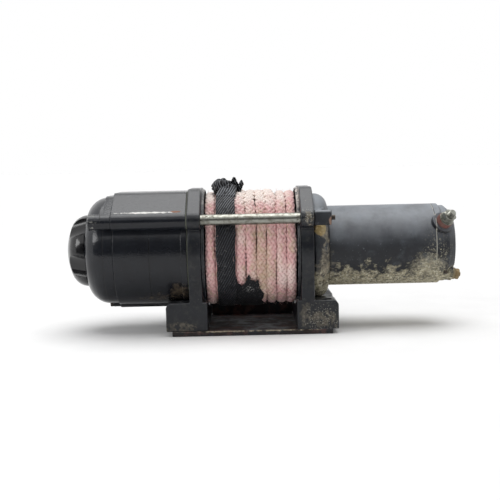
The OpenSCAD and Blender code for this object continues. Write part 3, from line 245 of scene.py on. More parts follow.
def solid(name, colour, second, roughness, size=0.003):
    """A non-metal with its own slight change of colour and fine surface grain."""
    finish = Finish(name, colour, roughness)
    finish.layer(finish.grain(size, 0.3, 0.75), second)
    finish.layer(finish.grain(size / 3, 0.3, 0.7, detail=2, seed=2.0), rise=0.00002)
    return finish


# Meshes

def put(name, data):
    """A new object in the scene."""
    made = bpy.data.objects.new(name, data)
    bpy.context.scene.collection.objects.link(made)
    return made


def link(name, mesh, material, body, slot, *nodes):
    """Puts a new piece in the scene, on a body, in place of the CAD nodes it stands for."""
    piece = put(name, mesh)
    mesh.materials.append(material)
    mesh.shade_smooth()
    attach(piece, body)
    if nodes:
        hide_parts(*nodes)
    return piece


def quads(index):
    """The quads between neighbouring rows and columns of point numbers."""
    corners = (index[..., :-1, :-1], index[..., :-1, 1:], index[..., 1:, 1:], index[..., 1:, :-1])
    return np.stack(corners, -1).reshape(-1, 4).tolist()


def grid(name, points, uvs=None, caps=False, lift=None):
    """A mesh of quads through rows of points; the first and last rows may be capped.
    The lift of each point, from 0 to 1, is kept for its material."""
    index = np.arange(points[..., 0].size).reshape(points.shape[:2])
    faces = quads(index)
    if caps:
        faces += [index[0, ::-1].tolist(), index[-1].tolist()]
    mesh = bpy.data.meshes.new(name)
    mesh.from_pydata(points.reshape(-1, 3).tolist(), [], faces)
    if uvs is not None:
        corners = np.zeros(len(mesh.loops), np.int32)
        mesh.loops.foreach_get("vertex_index", corners)
        layer = mesh.uv_layers.new(name="UVMap")
        layer.data.foreach_set("uv", uvs.reshape(-1, 2)[corners].astype(np.float32).ravel())
    if lift is not None:
        layer = mesh.attributes.new("lift", "FLOAT", "POINT")
        layer.data.foreach_set("value", lift.astype(np.float32).ravel())
    mesh.update()
    return mesh


def weld(mesh, distance=1e-6):
    """Joins points that meet and turns all faces outwards."""
    made = bmesh.new()
    made.from_mesh(mesh)
    bmesh.ops.remove_doubles(made, verts=made.verts, dist=distance)
    bmesh.ops.recalc_face_normals(made, faces=made.faces)
    made.to_mesh(mesh)
    made.free()


def revolved(rows, segments, place):
    """A mesh through rows of (radius, height) in millimetres round the Z axis of a placing matrix.
    A radius or a height is a number, or an array that changes round the row."""
    angles = np.linspace(0, 2 * math.pi, segments + 1)
    mesh = grid("revolved", np.array([
        np.stack([r * np.cos(angles), r * np.sin(angles), h + 0 * angles], -1) for r, h in rows]) * MM)
    weld(mesh)
    mesh.transform(place)
    return mesh


def soften(piece):
    """Shades flat faces flat and rounded edges round."""
    piece.modifiers.new("Normals", "WEIGHTED_NORMAL").keep_sharp = True


def thicken(piece, thickness, offset):
    """Gives a sheet its thickness: along its normals at 1, against them at -1, both ways at 0."""
    cloth = piece.modifiers.new("Thickness", "SOLIDIFY")
    cloth.thickness = thickness
    cloth.offset = offset


def shaped(node, material, body, slot, radius, segments=2, clamp=False):
    """Stands a copy of a CAD node in its place, with whole faces and rounded edges."""
    made = bmesh.new()
    made.from_mesh(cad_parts[node].data)
    bmesh.ops.remove_doubles(made, verts=made.verts, dist=3e-6)
    bmesh.ops.dissolve_limit(made, angle_limit=math.radians(0.5), verts=made.verts, edges=made.edges)
    mesh = bpy.data.meshes.new("shaped_" + node)
    made.to_mesh(mesh)
    made.free()
    piece = link("shaped_" + node, mesh, material, body, slot, node)
    bevel = piece.modifiers.new("Edges", "BEVEL")
    bevel.limit_method = "ANGLE"
    bevel.angle_limit = math.radians(33)
    bevel.width = radius
    bevel.segments = segments
    bevel.use_clamp_overlap = clamp
    soften(piece)
    return piece


def spread_out(*parts):
    """Numbers and arrays side by side, all widened to one shape."""
    return np.stack(np.broadcast_arrays(*parts), -1)


def wave(x, y, z, size, seed):
    """Smooth noise from -1 to 1 at a place, with features of that size."""
    return noise.noise(Vector((x / size + seed, y / size - seed, z / size + seed * 0.5)))


def round_axis(angle, radius, x):
    """Points at an angle, from the back over the top, and a radius about the drum's axis."""
    angle = np.radians(angle)
    return spread_out(x, radius * np.cos(angle), AXIS_H + radius * np.sin(angle))


def swept(name, us, vs, place, caps=False):
    """A mesh over two ranges of numbers; place turns a pair of them into an angle, a radius
    and an x about the drum's axis, and two UV numbers."""
    made = np.array([[place(u, v) for v in vs] for u in us])
    return grid(name, round_axis(*np.moveaxis(made[..., :3], -1, 0)), made[..., 3:], caps=caps)


# Settings

def colour_property(name, description, code):
    return FloatVectorProperty(name=name, description=description, default=srgb(code), size=4,
                               min=0.0, max=1.0, subtype="COLOR")


def number_property(name, description, default, low, high, subtype="NONE", unit="NONE"):
    return FloatProperty(name=name, description=description, default=default, min=low, max=high,
                         subtype=subtype, unit=unit)


def length_property(name, description, default, low, high):
    return number_property(name, description, default, low, high, "DISTANCE", "LENGTH")


def angle_property(name, description, default, low, high):
    return number_property(name, description, math.radians(default), math.radians(low), math.radians(high),
                           "ANGLE", "ROTATION")


class WINCH_PG_castings(bpy.types.PropertyGroup):
    edge: length_property("Edge radius", "Rounding of the edges of the castings", 0.0011, 0.0002, 0.002)
    joint_edge: length_property(
        "Joint edge radius", "Rounding where housing and cover meet", 0.0006, 0.0001, 0.001)
    pressed_edge: length_property(
        "Pressed edge radius", "Rounding of the motor shell's edges", 0.0005, 0.0001, 0.001)
    enamel: colour_property("Enamel", "Colour of the black enamel", "#101218")
    # This dust colour is also the painted light on the tops of the castings
    dust: colour_property("Dust", "Colour of the dust film", "#8f9399")
    mud: colour_property("Mud", "Colour of the dried mud", "#a79c86")


class WINCH_PG_hardware(bpy.types.PropertyGroup):
    zinc: colour_property("Zinc plate", "Colour of the plated rods, nuts and washers", "#9b9c94")
    fibre: colour_property("Fibre", "Colour of the terminals' insulators", "#6d3d36")
    upper_pitch: length_property(
        "Upper thread pitch", "Pitch of the upper terminal's thread", 0.001, 0.0005, 0.0015)
    lower_pitch: length_property(
        "Lower thread pitch", "Pitch of the lower terminal's thread", 0.0008, 0.0005, 0.001)


class WINCH_PG_rope(bpy.types.PropertyGroup):
    width: length_property("Width", "Width of one turn of the flattened rope", 0.0088, 0.006, 0.009)
    thickness: length_property("Thickness", "Thickness of one turn of the rope", 0.0066, 0.005, 0.007)
    strand_rise: length_property("Strand rise", "Height of the plaited strands", 0.0012, 0.0002, 0.0016)
    repeat: length_property(
        "Plait repeat", "Length of rope between strands of one direction", 0.0039, 0.003, 0.012)
    strands: IntProperty(name="Strands each way", description="Strands that run each way round the rope",
                         default=6, min=4, max=8)
    hairs: IntProperty(name="Broken filaments", description="Number of filaments that stand off the rope",
                       default=420, min=0, max=2000)
    colour: colour_property("Rope", "Colour of the dyed fibre", "#e2aeae")
    # This colour also paints the highlight on top of the rope and on the crowns of its strands
    faded_and_highlight: colour_property("Faded fibre", "Colour where the dye has worn away", "#fbeee6")
    dirt: colour_property("Rope dirt", "Colour of dirt in the rope", "#c6ae90")


class WINCH_PG_webbing(bpy.types.PropertyGroup):
    rib_pitch: length_property(
        "Rib pitch", "Distance between the webbing's slanted ribs", 0.0021, 0.001, 0.004)
    rib_rise: length_property("Rib rise", "Height of the ribs", 0.0002, 0.0001, 0.0006)
    slant: number_property(
        "Slant", "Sideways shift of a rib for each length along the webbing", 0.5, 0.1, 2.0)
    colour: colour_property("Webbing", "Colour of the nylon", "#0b0c10")
    # The rib sheen is a painted highlight on the tops of the ribs
    sheen: colour_property("Rib sheen", "Colour of the ribs' rubbed tops", "#3a3c42")


class WINCH_PG_stage(bpy.types.PropertyGroup):
    distance: length_property("Camera distance", "From the camera to the winch's middle", 0.835, 0.4, 3.0)
    drop: length_property(
        "Aim below the axis", "How far below the drum's axis the camera aims", 0.0026, -0.02, 0.02)
    side: length_property(
        "Aim to the side", "How far right of the base's middle the camera aims", -0.0008, -0.02, 0.02)
    elevation: angle_property("Elevation", "How far the camera looks down", 5, 0, 60)
    roll: angle_property("Roll", "How far the camera leans", 1.3, -10, 10)
    lens: number_property("Lens", "Focal length on a 36 mm sensor", 69.0, 20, 200, unit="CAMERA")
    lamp: number_property("Lamp", "Strength of the soft overhead light", 2.3, 0, 10)
    window: number_property("Window", "Power of the small light at the left", 2.0, 0, 20, unit="POWER")
    fill: number_property("Fill", "Strength of the light from all round", 0.34, 0, 2)


# Operators

class WINCH_OT_castings(bpy.types.Operator):
    """Build the supports, gear housing, cover, motor shell and base plate"""
    bl_idname = "winch.castings"
    bl_label = "Castings"

    def execute(self, context):
        s = context.scene.winch_castings
        housing, cover, supports = self.housing(s), self.cover(s), self.supports(s)
        motor, base = self.motor(s), self.base(s)
        for node, material, slot, radius in (
                ("gear_housing", housing, "black_enamel", s.joint_edge),
                ("end_cover", cover, "black_enamel", s.joint_edge),
                ("gear_side_support", supports, "dusty_enamel", s.edge),
                ("motor_side_support", supports, "dusty_enamel", s.edge),
                ("motor_flange", motor, "dusty_enamel", s.edge * 1.6),
                ("motor_can", motor, "dusty_enamel", s.pressed_edge),
                ("motor_end_cap", motor, "dusty_enamel", s.pressed_edge)):
            shaped(node, material, "root", slot, radius)
        plate = shaped("base_plate", base, "root", "base_steel", s.pressed_edge)
        # The lip at the back closes up to the feet
        lip_end, foot, back = (0.036, 0.0369), 0.03697, 0.042
        for vertex in plate.data.vertices:
            if lip_end[0] < abs(vertex.co.x) < lip_end[1] and vertex.co.y > back:
                vertex.co.x = math.copysign(foot, vertex.co.x)
        return {"FINISHED"}

    @staticmethod
    def housing(s):
        """Enamel of the gear housing, scraped along its lug and clean below."""
        finish = enamel("enamelled_housing", s, dust=0.06, roughness=0.22)
        # The scraped edge over the long lug shows primer, and rust at its right end
        scrape = finish.patch((-84, -50, AXIS + 34.2), (27, 12, 0.75), size=0.003, ragged=1.1)
        finish.layer((scrape, finish.grain(0.0016, 0.3, 0.5, stretch=(5, 1, 1))), srgb("#eceae6"), 0.6)
        rust = finish.patch((-61, -50, AXIS + 34.5), (5, 12, 0.8), size=0.002)
        finish.layer(rust, srgb("#8a6350"), 0.8)
        # Parting line of the mould
        front = finish.patch((-84, -40, AXIS - 15), (9, 30, 38), ragged=0.2)
        finish.layer((finish.stripe(-84, 0.3), front), srgb("#08090a"), rise=-0.0003)
        # Dust washed into the corner at the support, thinning out along the underside
        for centre, half, strength in (((-60, -36, AXIS - 35), (12, 16, 12), 0.55),
                                       ((-78, -32, AXIS - 42), (24, 14, 8), 0.4)):
            washed = finish.patch(centre, half, edge=0.9, ragged=1.0, size=0.004, seed=strength)
            broken = finish.grain(0.003, 0.25, 0.65, seed=1.4)
            finish.layer((washed, strength, broken), srgb("#80705a"), 0.85)
        return finish.done()

    @staticmethod
    def cover(s):
        """Enamel of the end cover, the glossiest of the castings."""
        finish = enamel("enamelled_cover", s, dust=0.1, roughness=0.15)
        # A groove round it, and scratches beside the bolt
        finish.layer((finish.stripe(-122.5, 0.3), 0.7), srgb("#08090a"), rise=-0.0002)
        beside = finish.patch((-131, -52, AXIS + 25), (7, 12, 12), size=0.003)
        finish.layer((beside, finish.grain(0.0012, 0.5, 0.7, stretch=(3, 1, 2))), srgb("#83827d"), 0.5)
        return finish.done()

    @staticmethod
    def supports(s):
        """Enamel of the two drum supports, chipped at the feet and the inner rims."""
        finish = enamel("enamelled_supports", s, dust=0.08, roughness=0.28, wear=0.7)
        finish.layer((finish.grain(0.004, 0.45, 0.75, detail=5, seed=1.9), 0.12), srgb("#6e6d63"), 0.7)
        # Small chips down to the grey primer, thickest on the motor's foot
        foot = finish.patch((58, -46, 10), (20, 14, 20), ragged=0.3)
        chips = finish.either(finish.times(finish.grain(0.0016, 0.7, 0.74, seed=4.2), 0.6),
                              finish.times(finish.grain(0.0013, 0.57, 0.64, seed=5.6), foot))
        finish.layer((chips, 0.8), srgb("#a3a196"), 0.8)
        boss = finish.patch((47, -50, AXIS + 28), (8, 10, 9), ragged=0.4)
        finish.layer((boss, finish.grain(0.0018, 0.55, 0.62, seed=2.6)), srgb("#c9c8c2"), 0.7)
        # The inner rim is chipped down to the primer where the rope rubs it
        rims = finish.either(finish.stripe(39.2, 1.6), finish.times(finish.stripe(-39.2, 1.2), 0.3))
        upper = finish.patch((0, -12, AXIS + 44), (60, 50, 34), edge=0.3)
        finish.layer((rims, upper, finish.grain(0.004, 0.4, 0.55, seed=8.8)), srgb("#cfc5be"), 0.7, 0.0002)
        mud(finish, s, ((60, -46, 12), (14, 8, 9), 0.2), ((44, -47, 16), (5, 8, 14), 0.15),
            ((47, -52, AXIS + 26), (5, 9, 7), 0.5), ((-60, -47, 8), (16, 8, 5), 0.15))
        return finish.done()

    @staticmethod
    def motor(s):
        """Enamel of the motor's flange, can and end cap, hazy on top with dust and a painted sheen, and
        muddy below.
        """
        finish = enamel("enamelled_motor", s, dust=0.6, roughness=0.36, wear=0.5)
        # A pale haze on top, partly dust and partly a painted sheen of the light from above, and cloudy
        # patches of finer dust all round the can
        haze_and_top_sheen = finish.turned((0, -0.1, 1), 0.6, 0.98)
        finish.layer((haze_and_top_sheen, finish.grain(0.02, 0.2, 0.7, seed=1.7), 0.42), srgb("#a2aab2"), 0.6)
        finish.layer((finish.grain(0.017, 0.5, 0.78, detail=4, seed=6.6), 0.3), srgb("#7d858d"), 0.55)
        # Dust in the joint of the end cap
        finish.layer((finish.stripe(155.6, 0.3), finish.grain(0.004, 0.35, 0.55)), srgb("#c3c1b6"), 0.8)
        # Dried mud along the underside, splashed higher near the end cap
        splash = finish.patch((149, -26, AXIS - 17), (19, 16, 17), size=0.0025, edge=0.8)
        low_mud = finish.either(finish.below(AXIS - 22, 7, 34, size=0.006), finish.times(splash, 0.6))
        finish.layer((low_mud, finish.grain(0.0016, 0.3, 0.5), 0.8), srgb("#9d967e"), 0.92)
        lumps = finish.grain(0.0035, 0.3, 0.6, detail=4, seed=2.2)
        finish.layer((low_mud, lumps), srgb("#b3ab91"), 0.95, 0.0004)
        finish.layer((low_mud, finish.grain(0.0026, 0.5, 0.64, seed=5.1)), srgb("#4e4d45"), 0.9)
        finish.layer((low_mud, finish.grain(0.0018, 0.5, 0.62, seed=6.3)), srgb("#d5cfba"), 0.95, 0.0003)
        thrown = finish.patch((156, -30, AXIS - 6), (17, 26, 26), edge=0.9)
        finish.layer((thrown, finish.grain(0.0016, 0.56, 0.64, seed=3.9)), srgb("#a9a491"), 0.9)
        # A tan clod under the lug, and a chip beside it
        clod = finish.patch((59, -45, AXIS + 18), (7.5, 9, 6.5), edge=0.2, ragged=0.5, size=0.004)
        finish.layer(clod, srgb("#a8946a"), 0.95, 0.0006)
        finish.layer((clod, finish.grain(0.002, 0.5, 0.65)), srgb("#cdbb90"), 0.95)
        chip = finish.patch((66, -52, AXIS + 24), (2.6, 8, 5), edge=0.2, ragged=0.6, size=0.002)
        finish.layer(chip, srgb("#8d7263"), 0.8)
        mud(finish, s, ((62, -38, AXIS - 22), (12, 18, 24), 0.3), ((62, -44, AXIS - 4), (5, 20, 30), 0.35))
        return finish.done()

    @staticmethod
    def base(s):
        """Enamel of the base plate, rusty and dull."""
        finish = enamel("enamelled_base", s, dust=0.15, roughness=0.45, wear=0.8)
        # Rust that has bled through the enamel
        finish.layer(finish.grain(0.016, 0.4, 0.62, seed=2.5, detail=4), srgb("#2c2320"), 0.8)
        finish.layer((finish.grain(0.009, 0.52, 0.66, seed=4.4), 0.6), srgb("#5e4540"), 0.9, 0.0003)
        mud(finish, s, ((0, -47, 4), (70, 2.5, 1.2), 0.9))
        return finish.done()


class WINCH_OT_knob(bpy.types.Operator):
    """Build the clutch knob"""
    bl_idname = "winch.knob"
    bl_label = "Clutch knob"

    def execute(self, context):
        # Moulded ABS: deep black and glossy, softly rounded, with a few dull scuffs
        finish = Finish("moulded_abs", srgb("#141416"), 0.16, IOR=1.53)
        finish.layer(finish.grain(0.003, 0.68, 0.76, stretch=(1, 3, 1)), srgb("#3a3b3d"), 0.4)
        finish.layer(finish.grain(0.014, 0.3, 0.8, detail=0), rise=0.00003)
        shaped("clutch_dial", finish.done(), "clutch_dial", "gloss_black_plastic", 0.0007, segments=3,
               clamp=True)
        return {"FINISHED"}


class WINCH_OT_hardware(bpy.types.Operator):
    """Build the tie rods and the terminals"""
    bl_idname = "winch.hardware"
    bl_label = "Rods and terminals"

    def execute(self, context):
        s = context.scene.winch_hardware
        # Zinc plate on turned steel: bright, slightly milky, with grey bruises and grime
        zinc = metal("zinc_plated_steel", s.zinc, srgb("#74726a"), 0.29, grime=0.7)
        # Vulcanised fibre: dull brick red, slightly waxy
        fibre = solid("vulcanised_fibre", s.fibre, srgb("#6a5048"), 0.7)
        # The lower terminal is caked in mud
        for finish, code in ((zinc, "#ad9c7e"), (fibre, "#8d8168")):
            caked = finish.patch((176, -10, AXIS - 26), (14, 12, 12), edge=0.2)
            finish.layer(caked, srgb(code), 0.9, 0.0002)
        zinc, fibre = zinc.done(), fibre.done()
        shaped("tie_rods", zinc, "root", "zinc_steel", 0.0003)
        rings, washers, nuts, studs = [], [], [], []
        # Where each terminal starts and points, its thread, the height of its boss, and in millimetres:
        # insulator and washer (radius, height), nut (across flats, height), stud (radius, tip) and bore
        for start, direction, pitch, boss, insulator, washer, nut, stud, bore in (
                ((0.148, 0, AXIS_H), (0.374607, -0.759505, 0.531811), s.upper_pitch, 37.5,
                 (6.7, 5.0), (6.4, 1.5), (10.0, 5.0), (3.0, 53.5), 3.1),
                ((0.1637, -0.010, AXIS_H - 0.024), (0.984808, 0, -0.173648), s.lower_pitch, 9.2,
                 (5.1, 2.0), (4.85, 1.0), (8.0, 3.0), (2.5, 16.4), 2.6)):
            turn = Vector(direction).to_track_quat("Z", "Y").to_matrix().to_4x4()
            place = Matrix.Translation(start) @ turn
            outer, height = insulator
            top = boss + height
            rings.append(self.ring(boss, top, outer, bore, 0.6, place))
            rings.append(self.ring(boss + height * 0.55, top + 0.01, outer * 0.82, bore, 0.3, place))
            outer, height = washer
            half, nut_low = top + height / 2, top + height
            washers.append(self.ring(top, half, outer, bore, 0.15, place))
            washers.append(self.ring(half, nut_low, outer * 0.86, bore, 0.2, place))
            flats, height = nut
            nuts.append(self.nut(nut_low, nut_low + height, flats, bore, place))
            radius, tip = stud
            studs.append(self.thread(top, tip, radius, pitch / MM, place))
        for meshes, node, material, slot in (
                (rings, "terminal_insulators", fibre, "red_fibre"),
                (washers, "terminal_washers", zinc, "zinc_steel"),
                (nuts, "terminal_nuts", zinc, "zinc_steel"), (studs, "terminal_studs", zinc, "zinc_steel")):
            joined = bmesh.new()
            for mesh in meshes:
                joined.from_mesh(mesh)
                bpy.data.meshes.remove(mesh)
            made = bpy.data.meshes.new("detailed_" + node)
            joined.to_mesh(made)
            joined.free()
            piece = link("detailed_" + node, made, material, "root", slot, node)
            made.set_sharp_from_angle(angle=math.radians(38))
            soften(piece)
        return {"FINISHED"}

    @staticmethod
    def ring(low, high, outer, inner, edge, place):
        """A flat ring with rounded outer edges, sizes in millimetres."""
        corner = edge * 0.3
        return revolved([
            (inner, low), (outer - edge, low), (outer - corner, low + corner), (outer, low + edge),
            (outer, high - edge), (outer - corner, high - corner), (outer - edge, high), (inner, high),
            (inner, low)], 48, place)

    @staticmethod
    def nut(low, high, flats, inner, place):
        """A hexagon nut whose corners are turned off at 30 degrees, sizes in millimetres."""
        segments, half, bevel = 72, flats / 2, 0.3
        angles = np.linspace(0, 2 * math.pi, segments + 1)
        rim = half / np.cos((angles + math.pi / 6) % (math.pi / 3) - math.pi / 6)
        fall = (rim - half) * 0.6
        return revolved([
            (inner, low), (half - 0.1, low), (rim, low + fall), (rim, high - fall), (half - 0.1, high),
            (inner + bevel, high), (inner, high - bevel), (inner, low)], segments, place)

    @staticmethod
    def thread(low, high, radius, pitch, place):
        """A stud with a cut thread and a chamfered tip, sizes in millimetres."""
        segments, tip = 32, 0.9
        angles = np.linspace(0, 2 * math.pi, segments + 1)
        rows = []
        for height in np.arange(low, high - 0.001, pitch / 6):
            groove = 0.3 * pitch * (1 + np.cos(2 * math.pi * height / pitch - angles))
            chamfer = 0.8 * np.clip((height - high + tip) / tip, 0, 1)
            rows.append((radius - np.maximum(groove, chamfer), height))
        last = rows[-1][0]
        return revolved([*rows, (last, high), (last * 0.02, high)], segments, place)


class WINCH_OT_rope(bpy.types.Operator):
    """Build the plaited rope, wound on the drum in its turns"""
    bl_idname = "winch.rope"
    bl_label = "Rope"

    def execute(self, context):
        s = context.scene.winch_rope
        low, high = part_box("rope_turns")
        ends = (low.x + s.width / 2, high.x - s.width / 2)
        lay = (high.z - low.z) / 2 - s.thickness / 2
        length = TURNS * 2 * math.pi * lay
        self.outer_layer(s, ends, lay, length)
        self.under_layer(s, ends, lay, length)
        self.hairs(s, lay + s.thickness / 2, low.x, high.x)
        return {"FINISHED"}

    def outer_layer(self, s, ends, lay, length):
        """The turns that show, as one tube with the relief of its plait."""
        ring_step = 0.0007
        along = np.arange(0, length, ring_step)
        turn = np.minimum(along / length * TURNS, TURNS - 1e-6)
        angle = START + 360 * turn

        def drift(span, seed, skip=1.0, y=0, z=0):
            """Slow noise along the rope, over that many degrees, that differs from turn to turn."""
            return np.array([wave(a / span, y + t * skip, z, 1.0, seed)
                             for a, t in zip(angle, np.floor(turn))])

        # Each turn lies square to the drum and steps over to the next at the back
        step = np.clip(turn % 1 / CROSSING, 0, 1)
        stepped = np.floor(turn) - 1 + step * step * (3 - 2 * step)
        x = ends[0] + (ends[1] - ends[0]) / (TURNS - 1) * np.where(turn < 1, 0, stepped)
        # On top, the middle turns are slack and cross each other, up to 46 degrees either way
        top, limit, fade = 96, 46, 18
        from_top = np.abs((angle - START) % 360 - (top - START))
        slack = np.clip((limit - from_top) / fade, 0, 1)
        left, right = -0.014, 0.026
        slack *= np.clip((x - left) / 0.004, 0, 1) * np.clip((right - x) / 0.01, 0, 1)
        sway = 0.0015 * np.clip(turn - 1, 0, 1) + 0.0026 * slack
        x = np.clip(x + sway * drift(42, 2.0, skip=1.3), *ends)
        radius = lay + 0.0002 * drift(35, 5.0, skip=0, y=3, z=1)
        radius += slack * (0.0015 + 0.0010 * drift(20, 8.0, skip=2.1, z=5))
        # Each end tucks in under its neighbour
        tuck = np.clip(np.minimum(along, length - along) / 0.02, 0, 1)
        radius -= 0.004 * (1 - tuck) ** 2
        # The plait is drawn tighter and looser along the rope, and lies wider and narrower
        line = (along + 0.0024 * drift(26, 7.0, z=2))[:, None]
        wide = (1 + 0.14 * drift(38, 1.0, z=6))[:, None]
        slack = slack[:, None]
        # Strands of two directions, each over and under the other, closely cut where they show
        theta = np.radians([[*np.linspace(-112, 112, 41), *np.linspace(128, 232, 6), 248]])
        p = theta * s.strands / (2 * math.pi) - line / s.repeat
        q = theta * s.strands / (2 * math.pi) + line / s.repeat
        i, j = np.round(p), np.round(q)
        over = np.cos(math.pi / 2 * (q - i - 0.5))
        under = np.cos(math.pi / 2 * (j - p - 2.5))
        crown_p, crown_q = 1 - (2 * (p - i)) ** 2, 1 - (2 * (q - j)) ** 2
        rise = np.maximum(0.7 * crown_p + 0.6 * over, 0.7 * crown_q + 0.6 * under) / 1.3 - 1
        relief = s.strand_rise * (1 + slack) * rise
        across = s.width / 2 * wide * (1 + 0.14 * slack) + relief
        reach = np.minimum(radius[:, None] + (s.thickness / 2 + relief) * np.cos(theta), ROPE_REACH)
        points = round_axis(angle[:, None], reach, x[:, None] + across * np.sin(theta))
        mesh = grid("plaited_rope", points, spread_out(line, theta * s.width / 2), caps=True,
                    lift=np.clip(1 + rise, 0, 1))
        link("plaited_rope", mesh, self.fibre(s, "plaited_nylon"), "drum", "pink_rope", "rope_turns")

    def under_layer(self, s, ends, lay, length):
        """The layer below, seen only in the gaps."""
        ring_step, depth = 0.004, 0.0056
        along = np.arange(0, length, ring_step)[:, None]
        ring = np.radians(np.linspace(0, 360, 13))[None, :]
        x = ends[0] + (ends[1] - ends[0]) * along / length
        points = round_axis(START + np.degrees(along / lay), lay - depth + 0.0028 * np.cos(ring),
                            x + 0.0041 * np.sin(ring))
        mesh = grid("under_layer", points, spread_out(along, ring * 0.0035), caps=True)
        link("under_layer", mesh, self.fibre(s, "plaited_nylon_below", deep=True), "drum", "pink_rope",
             "rope_core")

    @staticmethod
    def hairs(s, radius, low_x, high_x):
        """Broken filaments that stand off the rope."""
        draw = np.random.default_rng(11)
        rows, points, root, margin, thickness = 5, [], 0.001, 0.0024, 0.00013
        # The last column is open at the back, where the rope steps over to it
        open_to, open_width = 45, 0.011
        ring = np.linspace(0, 2 * math.pi, 4)
        for _ in range(s.hairs):
            angle = draw.uniform(-60, 280)
            x = draw.uniform(low_x + root, high_x - (open_width if angle < open_to else root))
            length, lean, bend = draw.uniform(0.002, 0.006), draw.normal(0, 1, 2), draw.normal(0, 0.5, 2)
            for t in np.linspace(0, 1, rows):
                out = min(radius - 0.0004 + 0.5 * length * t, ROPE_REACH)
                side = x + length * (0.4 * lean[0] * t + bend[0] * t * t)
                side = np.clip(side, low_x + margin, high_x - margin)
                swing = length * (0.5 * lean[1] * t + bend[1] * t * t)
                thick = thickness * (1 - 0.6 * t)
                points.append(round_axis(angle + np.degrees((swing + thick * np.cos(ring)) / radius), out,
                                         side + thick * np.sin(ring)))
        index = np.arange(s.hairs * rows * len(ring)).reshape(s.hairs, rows, len(ring))
        mesh = bpy.data.meshes.new("broken_filaments")
        mesh.from_pydata(np.array(points).reshape(-1, 3).tolist(), [], quads(index))
        weld(mesh, 1e-7)
        # Single nylon filaments: pale and slightly shiny
        finish = solid("nylon_filament", srgb("#efd6d0"), s.colour, 0.5)
        link("broken_filaments", mesh, finish.done(), "drum", "pink_rope")

    @staticmethod
    def fibre(s, name, deep=False):
        """Dyed plaited nylon: matt with a soft sheen, pale where the dye has rubbed away, with a painted
        highlight on top and on the strands' crowns, and brown in its valleys with dirt and painted shade."""
        # The layer below takes a darker colour: painted shade in the gaps between the turns
        finish = Finish(name, srgb("#b98a80") if deep else s.colour, 0.78, coords="UV",
                        Sheen_Weight=0.3, Sheen_Roughness=0.5)
        # Yarns half a millimetre wide, drawn as long fine noise along the rope
        yarns = finish.grain(0.0005, 0.3, 0.7, detail=1, stretch=(5, 1, 1))
        finish.layer(finish.grain(0.03, 0.45, 0.65, detail=4), srgb("#efd0c8"))
        finish.layer((finish.grain(0.006, 0.5, 0.7, seed=4), 0.7), s.dirt)
        finish.measure_in("Object")
        # Dirt at the front; pale fibre that on top is partly worn dye and partly a painted highlight of the
        # light from above, and lower at the front is worn dye
        for centre, half, colour, strength in (
                ((9, -30, AXIS - 6), (15, 30, 46), s.dirt, 0.95),
                ((4, -8, AXIS + 46), (38, 38, 22), s.faded_and_highlight, 1.0),
                ((30, -44, AXIS - 25), (12, 16, 20), s.faded_and_highlight, 0.5),
                ((-34, -6, AXIS + 46), (10, 36, 18), s.faded_and_highlight, 0.9)):
            finish.layer((finish.patch(centre, half, edge=0.7, size=0.008), strength), colour)
        if not deep:
            # Painted shade with dirt in the valleys of the plait, and a painted highlight with worn fibre on
            # the crowns of its strands
            lift = add(finish.tree, "Attribute", {}, "Fac", attribute_name="lift")
            finish.layer((finish.spread(lift, 0.62, 0.12), 0.75), srgb("#94685a"), 0.9)
            finish.layer((finish.spread(lift, 0.7, 1.0), 0.22), s.faded_and_highlight)
        finish.layer(yarns, rise=0.00012)
        return finish.done()


